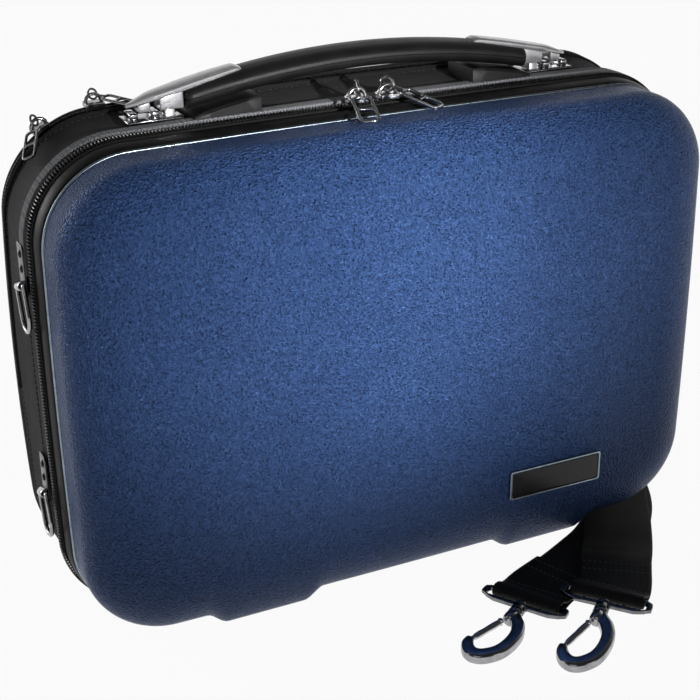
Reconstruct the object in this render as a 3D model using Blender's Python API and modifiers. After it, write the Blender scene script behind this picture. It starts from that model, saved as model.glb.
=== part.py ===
"""Zip-closed clarinet case: moulded front half, soft black back half with a rear pocket, lift-up handle,
side rings and a loose shoulder strap. Metres, +Z up, front face towards -Y.
The origin is the middle of the flat underside of the back half, on the surface that the case stands on."""
import math

import bmesh
import bpy
from mathutils import Matrix, Vector

# Clearance between pieces that touch, and how far a cutter runs past a face
GAP = 0.0003
OVERRUN = 0.002

# Outline of the case at the rim of the moulded half
CASE_WIDTH = 0.350
CASE_HEIGHT = 0.2437
CORNER_RADIUS = 0.0425
SIDE_BOW = 0.0018
FOOT_HEIGHT = 0.006
SMALLEST_RADIUS = 0.004

# How the outline grows behind the rim: over the band, then over the soft back half
BAND_STEP = 0.0025
BASE_SIDE_SWELL = 0.006
BASE_TOP_RISE = 0.0096
BASE_CORNER_RADIUS = 0.0455
BASE_LOW_RADIUS = 0.058
BASE_BOW = 0.0055
REST_START_SHARE = 0.2
TOP_RISE_POWER = 3

# Depths
LID_WALL_DEPTH = 0.014
LID_ROUND_DEPTH = 0.019
LID_ROUND_INSET = 0.029
LID_DOME = 0.0015
LID_DOME_INSET = 0.070
BAND_DEPTH = 0.0155
BASE_DEPTH = 0.050

# Level of the pocket's hinge, and where the sides have further points between it and the corners
POCKET_LEVEL = 0.121
SIDE_LEVEL_SHARES = (0.45, 0.5)

# Wall thicknesses
LID_THICKNESS = 0.003
LINING_THICKNESS = 0.004
BAND_THICKNESS = 0.0027
BASE_WALL = 0.005
POCKET_WALL = 0.003
PARTITION = 0.004

# Trim and zips
PIPING_RADIUS = 0.0009
ZIP_HALF_WIDTH = 0.0026
ZIP_TEETH_RISE = 0.001
POCKET_ZIP_HALF_WIDTH = 0.0012
POCKET_ZIP_SUNK = 0.0006
WEBBING_START = 0.0043
WEBBING_WIDTH = 0.008
WEBBING_THICKNESS = 0.0014

# Feet moulded into the front half
LID_FOOT_INNER_SHARE = 0.1657
LID_FOOT_OUTER_SHARE = 0.3086
LID_FOOT_FRONT = 0.018
LID_FOOT_DEPTH = 0.015
LID_FOOT_ROOT = 0.006
LID_FOOT_FLARE = 0.010

# Rear pocket
POCKET_DEPTH = 0.016
POCKET_ZIP_SET_IN = 0.0055
POCKET_ROUND = 0.0035
POCKET_BULGE = 0.004
POCKET_BULGE_INSET = 0.055
POCKET_EDGE_INSET = 0.015

# Badge plate on the front, left bare
BADGE_X = 0.0825
BADGE_Z = 0.0475
BADGE_WIDTH = 0.057
BADGE_HEIGHT = 0.0175
BADGE_RIM = 0.0012
BADGE_THICKNESS = 0.001
BADGE_SEAT_SHARE = 0.56

# Lift-up handle, with its places along the case as shares of its reach
HANDLE_SET_BACK_SHARE = 0.41
HANDLE_LIFT = 0.012
HANDLE_REACH_SHARE = 0.35
GRIP_LENGTH_SHARE = 0.7592
CAP_START_SHARE = 0.5143
CAP_TIP_SHARE = 0.9878
BRACKET_INNER_SHARE = 0.7714
INNER_POST_SHARE = 0.88
OUTER_POST_SHARE = 0.9673
TONGUE_SHARE = 0.8204
HANDLE_FOOT_INNER_SHARE = 0.4735
HANDLE_FOOT_OUTER_SHARE = 0.751
GRIP_HALF_DEPTH = 0.012
GRIP_END_HALF_DEPTH = 0.0095
GRIP_MIDDLE_RISE = 0.0193
GRIP_ARCH = 0.0105
GRIP_UP = 0.0058
GRIP_DOWN = 0.0055
CAP_STEP = 0.0018
CAP_THICKNESS = 0.0016
CAP_HALF_WIDTH = 0.0062
CAP_TIP_HALF_WIDTH = 0.0012
CORE_HALF_WIDTH = 0.006
CORE_THICKNESS = 0.0012
BRACKET_HALF_DEPTH = 0.0075
BRACKET_PLATE = 0.0014
POST_HEIGHT = 0.0032
POST_WIDTH = 0.0042
POST_HALF_DEPTH = 0.0050
LUG_HALF_DEPTH = 0.0050
TONGUE_WIDTH = 0.005
TONGUE_HALF_DEPTH = 0.004
TONGUE_CLEARANCE = 0.0004
STOP_OVERHANG = 0.002
STOP_THICKNESS = 0.0025
BACKING_THICKNESS = 0.0015
BACKING_OVERHANG = 0.006
STOP_ROOM = 0.002
HANDLE_FOOT_REACH = 0.0125
HANDLE_FOOT_CLEARANCE = 0.0007
FOOT_LIP_INSET = 0.0008

# Zip sliders and their pulls
SLIDER_LENGTH = 0.0105
SLIDER_WIDTH = 0.0088
SLIDER_THICKNESS = 0.003
ARCH_RADIUS = 0.0044
ARCH_WIRE = 0.0009
PULL_RING_RADIUS = 0.0027
PULL_RING_WIRE = 0.0006
PULL_LENGTH = 0.0175
PULL_NECK = 0.0040
PULL_NECK_SHARE = 0.43
PULL_NECK_STEPS = 6
PULL_WIDTH = 0.0086
PULL_BAR = 0.0012
PULL_THICKNESS = 0.0013
MAIN_SLIDER_XS = (-0.0105, 0.0062)
MAIN_DROP_SHARES = (0.40, 0.36)
MAIN_TURNS = (-12.0, 38.0)
POCKET_SLIDER_SCALE = 0.9
POCKET_LOW_PLACE_SHARE = 0.357
POCKET_LOW_DROP_SHARE = 0.30
POCKET_LOW_TURN = -40.0
POCKET_HIGH_PLACE_SHARE = 0.03
POCKET_HIGH_DROP_SHARE = 0.14
POCKET_HIGH_TURN = 41.0

# Side rings
UPPER_RING_DROP = 0.0232
LOWER_RING_SHARE = 0.3016
RING_SET_BACK = 0.0105
RING_TILT = 18.0
RING_PLATE_WIDTH = 0.011
RING_PLATE_LENGTH = 0.0252
RING_PLATE_THICKNESS = 0.0012
RING_PLATE_DROP = 0.004
BRIDGE_LENGTH = 0.009
BRIDGE_WIDTH = 0.0055
BRIDGE_HEIGHT = 0.0048
RING_WIRE = 0.0011
RING_HALF_WIDTH = 0.0078
RING_DROP = 0.014
RING_CLEARANCE = 0.0004

# Inside: foam tray, its recesses and the accessory lid
TRAY_CLEARANCE = 0.0005
TRAY_FRONT_SET_BACK = 0.003
RECESS_FLOOR = 0.006
RECESS_ROUND = 0.010
RECESS_MARGIN = 0.012
RECESS_WALL = 0.007
LOWER_JOINT_LENGTH = 0.264
LOWER_JOINT_WIDTH = 0.042
UPPER_JOINT_LENGTH = 0.236
UPPER_JOINT_WIDTH = 0.038
BELL_LENGTH = 0.104
BELL_WIDTH = 0.084
MOUTHPIECE_LENGTH = 0.094
MOUTHPIECE_WIDTH = 0.037
BARREL_LENGTH = 0.072
BARREL_WIDTH = 0.036
ACCESSORY_LENGTH = 0.088
ACCESSORY_LID_THICKNESS = 0.003
ACCESSORY_LEDGE = 0.004
THUMB_NOTCH = 0.022

# Shoulder strap and its hooks, lying on the surface
STRAP_WIDTH = 0.038
STRAP_THICKNESS = 0.0016
STRAP_LAYERS = 6
FLAP_FALL = 0.012
FOLD_LENGTH = 0.190
SEWN_LENGTH = 0.040
HOOK_HEIGHTS = (0.0042, 0.0090)
HOOK_FRAME_LENGTH = 0.048
HOOK_FRAME_DEPTH = 0.0105
HOOK_FRAME_THICKNESS = 0.0026
HOOK_SLOT_LENGTH = 0.042
HOOK_SLOT_DEPTH = 0.0055
HOOK_BAR = 0.0024
BOSS_RADIUS = 0.0038
BOSS_LENGTH = 0.0065
STEM_RADIUS = 0.0021
STEM_CLEARANCE = 0.0003
STEM_HEAD_LENGTH = 0.0015
STEM_HEAD_RADIUS = 0.0032
HOOK_LENGTH = 0.044
HOOK_SIDE = 0.0095
HOOK_WIRE = 0.0031
GATE_THICKNESS = 0.0036
NECK_LENGTH = 0.0090
GATE_PIN_SIDE = 0.0028

# Smoothness
CORNER_STEPS = 7
ROUND_STEPS = 5
TUBE_STEPS = 10

# Planes that follow from the depths
COIL_Y = -BASE_DEPTH / 2
RIM_Y = COIL_Y - BAND_DEPTH
FRONT_Y = RIM_Y - LID_WALL_DEPTH - LID_ROUND_DEPTH
BACK_Y = COIL_Y + BASE_DEPTH
BASE_FRONT_Y = COIL_Y + ZIP_HALF_WIDTH + 2 * GAP
POCKET_ZIP_Y = BACK_Y - POCKET_ZIP_SET_IN
BASE_REAR_Y = POCKET_ZIP_Y - POCKET_ZIP_HALF_WIDTH - 2 * GAP
TRAY_BACK_Y = BACK_Y - POCKET_DEPTH
REST_START_Y = COIL_Y + BASE_DEPTH * REST_START_SHARE
MIDDLE_Y = (COIL_Y + BASE_REAR_Y) / 2
WEBBING_Y = COIL_Y + WEBBING_START
HANDLE_Y = COIL_Y + BASE_DEPTH * HANDLE_SET_BACK_SHARE
HANDLE_FOOT_BACK = HANDLE_Y + HANDLE_FOOT_REACH
RING_Y = COIL_Y + RING_SET_BACK

# Places of the feet and of the handle's pieces along the case, and of the side rings up it
LID_FOOT_INNER_X = CASE_WIDTH * LID_FOOT_INNER_SHARE
LID_FOOT_OUTER_X = CASE_WIDTH * LID_FOOT_OUTER_SHARE
BRACKET_OUTER = CASE_WIDTH * HANDLE_REACH_SHARE
GRIP_HALF_LENGTH = BRACKET_OUTER * GRIP_LENGTH_SHARE
CAP_START = BRACKET_OUTER * CAP_START_SHARE
CAP_TIP = BRACKET_OUTER * CAP_TIP_SHARE
BRACKET_INNER = BRACKET_OUTER * BRACKET_INNER_SHARE
INNER_POST = BRACKET_OUTER * INNER_POST_SHARE
OUTER_POST = BRACKET_OUTER * OUTER_POST_SHARE
TONGUE_X = BRACKET_OUTER * TONGUE_SHARE
HANDLE_FOOT_INNER = BRACKET_OUTER * HANDLE_FOOT_INNER_SHARE
HANDLE_FOOT_OUTER = BRACKET_OUTER * HANDLE_FOOT_OUTER_SHARE
RING_LEVELS = (FOOT_HEIGHT + CASE_HEIGHT - CORNER_RADIUS - UPPER_RING_DROP, CASE_HEIGHT * LOWER_RING_SHARE)


def clear_scene():
    for item in list(bpy.data.objects):
        bpy.data.objects.remove(item, do_unlink=True)


def new_collection(name):
    collection = bpy.data.collections.new(name)
    bpy.context.scene.collection.children.link(collection)
    return collection


clear_scene()
PARTS = new_collection("clarinet_case")
TOOLS = new_collection("cutters")


def make_material(name, colour, roughness, metallic=0.0):
    material = bpy.data.materials.new(name)
    material.use_nodes = True
    shader = material.node_tree.nodes["Principled BSDF"]
    shader.inputs["Base Color"].default_value = (*colour, 1.0)
    shader.inputs["Roughness"].default_value = roughness
    shader.inputs["Metallic"].default_value = metallic
    return material


NAVY_ABS = make_material("navy_abs", (0.015, 0.045, 0.16), 0.35)
BLACK_NYLON = make_material("black_nylon", (0.012, 0.012, 0.014), 0.8)
BLACK_RUBBER = make_material("black_rubber", (0.015, 0.015, 0.016), 0.5)
GREY_WEBBING = make_material("grey_webbing", (0.22, 0.22, 0.23), 0.8)
CHROME = make_material("chrome", (0.75, 0.75, 0.76), 0.12, 1.0)
DARK_CHROME = make_material("dark_chrome", (0.12, 0.12, 0.13), 0.18, 1.0)
SILVER_TRIM = make_material("silver_trim", (0.62, 0.64, 0.66), 0.25, 1.0)
BLACK_PLUSH = make_material("black_plush", (0.02, 0.02, 0.022), 0.95)
ZIP_BLACK = make_material("zip_black", (0.02, 0.02, 0.02), 0.55)
BADGE_DARK = make_material("badge_dark", (0.03, 0.03, 0.035), 0.3)


# Building helpers
def place(name, mesh, material, collection=None):
    item = bpy.data.objects.new(name, mesh)
    (collection or PARTS).objects.link(item)
    item.data.materials.append(material)
    return item


def finish(name, bm, material, collection=None, smooth=30.0):
    bmesh.ops.remove_doubles(bm, verts=bm.verts, dist=GAP / 100)
    bmesh.ops.recalc_face_normals(bm, faces=bm.faces)
    mesh = bpy.data.meshes.new(name)
    bm.to_mesh(mesh)
    bm.free()
    mesh.shade_smooth()
    mesh.set_sharp_from_angle(angle=math.radians(smooth))
    return place(name, mesh, material, collection)


def loft(name, rings, material, looped=False, collection=None):
    """Joins rings of equally many points; the ends are filled, or joined to each other when looped."""
    bm = bmesh.new()
    rows = [[bm.verts.new(point) for point in ring] for ring in rings]
    count = len(rows[0])
    pairs = list(zip(rows, rows[1:]))
    if looped:
        pairs.append((rows[-1], rows[0]))
    else:
        bm.faces.new(rows[0])
        bm.faces.new(list(reversed(rows[-1])))
    for near, far in pairs:
        for i in range(count):
            j = (i + 1) % count
            bm.faces.new((near[i], far[i], far[j], near[j]))
    return finish(name, bm, material, collection)


def box(name, low, high, material, bevel=0.0, collection=None, segments=2):
    bm = bmesh.new()
    bmesh.ops.create_cube(bm, size=1)
    for vert in bm.verts:
        vert.co = Vector([low[k] + (vert.co[k] + 0.5) * (high[k] - low[k]) for k in range(3)])
    item = finish(name, bm, material, collection)
    if bevel:
        modifier = item.modifiers.new("rounding", "BEVEL")
        modifier.width = bevel
        modifier.segments = segments
        modifier.limit_method = "ANGLE"
    return item


def wedge(name, side, near, far, y_low, y_high, bottoms, tops, material, collection=None):
    """A block on one side, with bottom heights at its front and back and top heights near and far."""
    xs = sorted((side * near, side * far))
    block = box(name, (xs[0], y_low, bottoms[0]), (xs[1], y_high, max(tops)), material, collection=collection)
    for vert in block.data.vertices:
        if vert.co.z > (bottoms[0] + max(tops)) / 2:
            outer = abs(vert.co.x) > (near + far) / 2
            vert.co.z = tops[1] if outer else tops[0]
        elif vert.co.y > (y_low + y_high) / 2:
            vert.co.z = bottoms[1]
    return block


def cylinder(name, start, end, radius, material, collection=None, steps=TUBE_STEPS, end_radius=None):
    axis = Vector(end) - Vector(start)
    bm = bmesh.new()
    far_radius = radius if end_radius is None else end_radius
    bmesh.ops.create_cone(bm, cap_ends=True, segments=steps, radius1=radius, radius2=far_radius,
                          depth=axis.length)
    turn = axis.to_track_quat("Z", "Y").to_matrix().to_4x4()
    middle = Matrix.Translation((Vector(start) + Vector(end)) / 2)
    bmesh.ops.transform(bm, matrix=middle @ turn, verts=bm.verts)
    return finish(name, bm, material, collection)


def tube(name, points, radius, material, cyclic=False, resolution=2, collection=None, thickness=None):
    """A round wire along the points; thickness gives a share of the radius at each point."""
    curve = bpy.data.curves.new(name, "CURVE")
    curve.dimensions = "3D"
    curve.bevel_depth = radius
    curve.bevel_resolution = resolution
    curve.use_fill_caps = not cyclic
    spline = curve.splines.new("POLY")
    spline.points.add(len(points) - 1)
    for i, (spot, point) in enumerate(zip(spline.points, points)):
        spot.co = (*point, 1.0)
        spot.radius = thickness[i] if thickness else 1.0
    spline.use_cyclic_u = cyclic
    return place(name, curve, material, collection)


def flat_outline(name, loops, thickness, material, collection=None):
    """A plate in the XY plane from closed outlines, the later ones cut out of the first."""
    curve = bpy.data.curves.new(name, "CURVE")
    curve.dimensions = "2D"
    curve.fill_mode = "BOTH"
    curve.extrude = thickness / 2
    for loop in loops:
        spline = curve.splines.new("POLY")
        spline.points.add(len(loop) - 1)
        for spot, point in zip(spline.points, loop):
            spot.co = (point[0], point[1], 0.0, 1.0)
        spline.use_cyclic_u = True
    return place(name, curve, material, collection)


def solidified(item):
    """Turns a curve object into a welded mesh object of the same name and place."""
    bpy.context.view_layer.update()
    evaluated = item.evaluated_get(bpy.context.evaluated_depsgraph_get())
    mesh = bpy.data.meshes.new_from_object(evaluated)
    bm = bmesh.new()
    bm.from_mesh(mesh)
    bm.transform(item.matrix_world)
    name = item.name
    material = item.data.materials[0]
    collection = item.users_collection[0]
    bpy.data.objects.remove(item, do_unlink=True)
    bpy.data.meshes.remove(mesh)
    return finish(name, bm, material, collection)


def combine(item, other, operation):
    modifier = item.modifiers.new(other.name, "BOOLEAN")
    modifier.operation = operation
    modifier.object = other
    other.hide_render = True
    other.display_type = "WIRE"
    return item


def move_mesh(item, matrix):
    item.data.transform(matrix)
    return item


def rounded_loop(width, height, radius, steps=2):
    """Corner points of a rounded rectangle about the origin."""
    points = []
    for quarter, (sx, sy) in enumerate(((1, 1), (-1, 1), (-1, -1), (1, -1))):
        for k in range(steps + 1):
            angle = math.radians(90 * (quarter + k / steps))
            points.append((sx * (width / 2 - radius) + radius * math.cos(angle),
                           sy * (height / 2 - radius) + radius * math.sin(angle)))
    return points


# The outline of the case at any depth
def mix(start, end, share):
    return start + (end - start) * share


def case_shape(y, offset):
    step = min(max((y - RIM_Y) / BAND_DEPTH, 0), 1)
    back = min(max((y - COIL_Y) / BASE_DEPTH, 0), 1)
    rest = min(back / REST_START_SHARE, 1)
    rim_radius = CORNER_RADIUS + BAND_STEP * step
    return {
        "half": CASE_WIDTH / 2 + BAND_STEP * step + (BASE_SIDE_SWELL - BAND_STEP) * back + offset,
        "high": FOOT_HEIGHT + CASE_HEIGHT + BAND_STEP * step
                + (BASE_TOP_RISE - BAND_STEP) * back ** TOP_RISE_POWER + offset,
        "low": (FOOT_HEIGHT - BAND_STEP * step) * (1 - rest) - offset,
        "high_radius": max(mix(rim_radius, BASE_CORNER_RADIUS, back) + offset, SMALLEST_RADIUS),
        "low_radius": max(mix(rim_radius, BASE_LOW_RADIUS, rest) + offset, SMALLEST_RADIUS),
        "bow": mix(SIDE_BOW, BASE_BOW, back),
        "low_bow": SIDE_BOW * (1 - rest),
    }


def case_ring(y, offset):
    """Points of the outline, anticlockwise seen from the front, starting at the middle of the bottom."""
    shape = case_shape(y, offset)
    half, low, high = shape["half"], shape["low"], shape["high"]
    low_r, high_r = shape["low_radius"], shape["high_radius"]
    straight = half - low_r
    lowest, highest = low + low_r, high - high_r
    levels = [mix(lowest, POCKET_LEVEL, SIDE_LEVEL_SHARES[0]), POCKET_LEVEL,
              mix(POCKET_LEVEL, highest, SIDE_LEVEL_SHARES[1])]
    right = [(0, low), (straight / 2, low)]
    for k in range(CORNER_STEPS + 1):
        angle = math.pi / 2 * (k / CORNER_STEPS - 1)
        right.append((straight + low_r * math.cos(angle), lowest + low_r * math.sin(angle)))
    right += [(half, level) for level in levels]
    for k in range(CORNER_STEPS + 1):
        angle = math.pi / 2 * k / CORNER_STEPS
        right.append((half - high_r + high_r * math.cos(angle), highest + high_r * math.sin(angle)))
    right += [((half - high_r) / 2, high), (0, high)]
    points = right + [(-x, z) for x, z in reversed(right[1:-1])]
    middle = (low + high) / 2
    bowed = []
    for x, z in points:
        across = x / half
        up = (z - middle) / (high - middle)
        bow = shape["bow"] if up > 0 else shape["low_bow"]
        bowed.append(Vector((x - shape["bow"] * across * up ** 2, y, z - bow * up * across ** 2)))
    return bowed


RING_COUNT = len(case_ring(RIM_Y, 0))
CORNER_INDEX = 2
SIDE_INDEX = CORNER_INDEX + CORNER_STEPS + 1
POCKET_INDEX = SIDE_INDEX + 1
WEBBING_INDEX = SIDE_INDEX + 3
TOP_LEFT_INDEX = RING_COUNT - WEBBING_INDEX - CORNER_STEPS
ZIP_INDEX = CORNER_INDEX + 3
HINGE_INDEX = CORNER_INDEX + 2


def top_height(x, y, offset=0.0):
    shape = case_shape(y, offset)
    return shape["high"] - shape["bow"] * (x / shape["half"]) ** 2


def over_top(y, offset, index):
    """The stretch of the outline from one side, over the top, to the same place on the other side."""
    return case_ring(y, offset)[index:RING_COUNT - index + 1]


def along_bottom(y, offset, index):
    ring = case_ring(y, offset)
    return ring[RING_COUNT - index:] + ring[:index + 1]


def shell(name, profile, material):
    """A shell from rings at (offset, y) places, with a flat end at each end of the profile."""
    return loft(name, [case_ring(y, offset) for offset, y in profile], material)


def band(name, section, material, run=None, index=0):
    """A strip round the case, with a section of (offset, y) corners."""
    if run is None:
        paths = [case_ring(y, offset) for offset, y in section]
    else:
        paths = [run(y, offset, index) for offset, y in section]
    return loft(name, list(zip(*paths)), material, looped=run is None)


def rectangle(offset_low, offset_high, y_low, y_high):
    return [(offset_low, y_low), (offset_high, y_low), (offset_high, y_high), (offset_low, y_high)]


# Moulded front half
def lid_profile(shrink):
    """From the rim to the middle of the front face, set in from the outside by shrink."""
    places = [(-shrink, RIM_Y)]
    for k in range(ROUND_STEPS + 1):
        angle = math.pi / 2 * k / ROUND_STEPS
        inset = shrink + (LID_ROUND_INSET - shrink) * (1 - math.cos(angle))
        depth = LID_WALL_DEPTH + (LID_ROUND_DEPTH - shrink) * math.sin(angle)
        places.append((-inset, RIM_Y - depth))
    places.append((-LID_DOME_INSET, FRONT_Y + shrink - LID_DOME))
    return places


def build_lid_shell():
    outer = lid_profile(0)
    inner = lid_profile(LID_THICKNESS)
    lid = shell("lid_shell", list(reversed(outer)) + inner, NAVY_ABS)
    for side in (-1, 1):
        xs = sorted((side * LID_FOOT_INNER_X, side * LID_FOOT_OUTER_X))
        foot = box(f"foot_{side}", (xs[0], RIM_Y - LID_FOOT_FRONT, 0),
                   (xs[1], RIM_Y - LID_FOOT_FRONT + LID_FOOT_DEPTH, FOOT_HEIGHT + LID_THICKNESS / 2),
                   NAVY_ABS, collection=TOOLS)
        for vert in foot.data.vertices:
            if vert.co.z > FOOT_HEIGHT:
                vert.co.x += math.copysign(LID_FOOT_FLARE, vert.co.x - (xs[0] + xs[1]) / 2) / 2
        combine(lid, foot, "UNION")
    return lid


def build_lid():
    build_lid_shell()
    centre_y = RIM_Y + GAP + PIPING_RADIUS
    tube("lid_piping", case_ring(centre_y, -PIPING_RADIUS / 2), PIPING_RADIUS, SILVER_TRIM, cyclic=True,
         resolution=1)
    front = centre_y + PIPING_RADIUS + GAP
    rear = COIL_Y - ZIP_HALF_WIDTH - 2 * GAP
    band("lid_band", [(-BAND_THICKNESS, front), (-PIPING_RADIUS / 2, front),
                      (PIPING_RADIUS / 2, (front + rear) / 2), (0, rear), (-BAND_THICKNESS, rear)],
         BLACK_RUBBER)
    band("lid_zip", rectangle(-BAND_THICKNESS, ZIP_TEETH_RISE, COIL_Y - ZIP_HALF_WIDTH - GAP, COIL_Y - GAP),
         ZIP_BLACK, over_top, ZIP_INDEX)
    band("lid_hinge_tape", rectangle(-BAND_THICKNESS, 0, COIL_Y - ZIP_HALF_WIDTH - GAP, COIL_Y - GAP),
         BLACK_NYLON, along_bottom, HINGE_INDEX)
    outer = lid_profile(LID_THICKNESS + GAP)
    inner = lid_profile(LID_THICKNESS + GAP + LINING_THICKNESS)
    outer.insert(0, (outer[0][0], COIL_Y - GAP))
    inner.insert(0, (inner[0][0], COIL_Y - GAP))
    shell("lid_lining", list(reversed(outer)) + inner, BLACK_PLUSH)


def build_badge():
    outer = rounded_loop(BADGE_WIDTH, BADGE_HEIGHT, BADGE_RIM)
    inner = rounded_loop(BADGE_WIDTH - 2 * BADGE_RIM, BADGE_HEIGHT - 2 * BADGE_RIM, BADGE_RIM)
    smaller = rounded_loop(BADGE_WIDTH - 2 * BADGE_RIM - 2 * GAP, BADGE_HEIGHT - 2 * BADGE_RIM - 2 * GAP,
                           BADGE_RIM)
    reach = FRONT_Y - LID_DOME * BADGE_SEAT_SHARE - GAP
    frame = solidified(flat_outline("badge_frame", [outer, inner], BADGE_THICKNESS, SILVER_TRIM))
    plate = solidified(flat_outline("badge_plate", [smaller], BADGE_THICKNESS - BADGE_RIM / 4, BADGE_DARK))
    upright = Matrix.Rotation(math.pi / 2, 4, "X")
    move_mesh(frame, Matrix.Translation((BADGE_X, reach - BADGE_THICKNESS / 2, BADGE_Z)) @ upright)
    plate_y = reach - BADGE_THICKNESS / 2 + BADGE_RIM / 8
    move_mesh(plate, Matrix.Translation((BADGE_X, plate_y, BADGE_Z)) @ upright)


# Soft back half and its rear pocket
def build_base_shell():
    inside = [(-BASE_WALL, y) for y in (TRAY_BACK_Y, MIDDLE_Y, REST_START_Y, BASE_FRONT_Y)]
    outside = [(0, y) for y in (BASE_FRONT_Y, REST_START_Y, MIDDLE_Y, TRAY_BACK_Y, BASE_REAR_Y)]
    behind = [(-BASE_WALL, BASE_REAR_Y), (-BASE_WALL, TRAY_BACK_Y + PARTITION)]
    profile = inside + outside + behind
    base = shell("base_shell", profile, BLACK_NYLON)
    for side in (-1, 1):
        slot = tongue_slot(f"shell_slot_{side}", side, POCKET_LEVEL, FOOT_HEIGHT + CASE_HEIGHT + BASE_TOP_RISE)
        combine(base, slot, "DIFFERENCE")
    return base


def pocket_skin(name, start_y, collection):
    """The bulging back cover, from its front edge round to the middle of the back, and back inside."""
    def surface(shrink):
        places = [(-shrink, start_y)]
        edge_y = BACK_Y - POCKET_ROUND
        for k in range(ROUND_STEPS):
            angle = math.pi / 2 * k / (ROUND_STEPS - 1)
            inset = shrink + (POCKET_ROUND - shrink / 2) * (1 - math.cos(angle))
            places.append((-inset, edge_y + (POCKET_ROUND - shrink) * math.sin(angle)))
        places.append((-POCKET_EDGE_INSET - shrink, BACK_Y - shrink + POCKET_BULGE / 3))
        places.append((-POCKET_BULGE_INSET - shrink, BACK_Y - shrink + POCKET_BULGE))
        return places
    outer = surface(0)
    inner = surface(POCKET_WALL)
    rings = [case_ring(y, offset) for offset, y in list(reversed(outer)) + inner]
    return loft(name, rings, BLACK_NYLON, collection=collection)


def build_pocket():
    reach = CASE_WIDTH
    deep = (BACK_Y - POCKET_ZIP_Y) + POCKET_BULGE + OVERRUN
    front = POCKET_ZIP_Y - BASE_WALL
    back = POCKET_ZIP_Y + deep
    flap = pocket_skin("pocket_flap", POCKET_ZIP_Y + POCKET_ZIP_HALF_WIDTH + 2 * GAP, PARTS)
    above = box("above_hinge", (-reach, front, POCKET_LEVEL + GAP / 2), (reach, back, CASE_WIDTH),
                BLACK_NYLON, collection=TOOLS)
    combine(flap, above, "INTERSECT")
    panel = pocket_skin("pocket_lower_panel", BASE_REAR_Y + GAP, PARTS)
    below = box("below_hinge", (-reach, front, -OVERRUN), (reach, back, POCKET_LEVEL - GAP / 2),
                BLACK_NYLON, collection=TOOLS)
    combine(panel, below, "INTERSECT")
    inner = -POCKET_WALL - ZIP_TEETH_RISE
    outer = -POCKET_ZIP_SUNK
    width = POCKET_ZIP_HALF_WIDTH
    band("pocket_zip_base", rectangle(inner, outer, POCKET_ZIP_Y - width - GAP, POCKET_ZIP_Y - GAP / 2),
         ZIP_BLACK, over_top, POCKET_INDEX)
    band("pocket_zip_flap", rectangle(inner, outer, POCKET_ZIP_Y + GAP / 2, POCKET_ZIP_Y + width + GAP),
         ZIP_BLACK, over_top, POCKET_INDEX)


def build_base_trim():
    band("base_zip", rectangle(-BASE_WALL, ZIP_TEETH_RISE, COIL_Y + GAP, COIL_Y + ZIP_HALF_WIDTH + GAP),
         ZIP_BLACK, over_top, ZIP_INDEX)
    band("base_hinge_tape", rectangle(-BASE_WALL, 0, COIL_Y + GAP, COIL_Y + ZIP_HALF_WIDTH + GAP),
         BLACK_NYLON, along_bottom, HINGE_INDEX)
    band("top_webbing", rectangle(GAP, GAP + WEBBING_THICKNESS, WEBBING_Y, WEBBING_Y + WEBBING_WIDTH),
         GREY_WEBBING, over_top, WEBBING_INDEX)


# Foam tray with a recess for each piece of the instrument
def tray_layout():
    """Name to (left, right, low, high) of each recess, stacked in rows from the bottom."""
    shape = case_shape(COIL_Y + BASE_DEPTH / 2, -BASE_WALL - TRAY_CLEARANCE)
    left = -shape["half"] + RECESS_MARGIN
    right = shape["half"] - RECESS_MARGIN
    row = shape["low"] + RECESS_MARGIN
    places = {}
    inner = left + RECESS_MARGIN
    places["lower_joint"] = (inner, inner + LOWER_JOINT_LENGTH, row, row + LOWER_JOINT_WIDTH)
    row += LOWER_JOINT_WIDTH + RECESS_WALL
    places["upper_joint"] = (left, left + UPPER_JOINT_LENGTH, row, row + UPPER_JOINT_WIDTH)
    row += UPPER_JOINT_WIDTH + RECESS_WALL
    places["bell"] = (right - BELL_LENGTH, right, row, row + BELL_WIDTH)
    middle = right - BELL_LENGTH - RECESS_WALL
    places["mouthpiece"] = (middle - MOUTHPIECE_LENGTH, middle, row, row + MOUTHPIECE_WIDTH)
    above = row + MOUTHPIECE_WIDTH + RECESS_WALL
    places["barrel"] = (middle - BARREL_LENGTH, middle, above, above + BARREL_WIDTH)
    places["accessory"] = (left, left + ACCESSORY_LENGTH, row, row + BELL_WIDTH)
    return places


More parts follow.
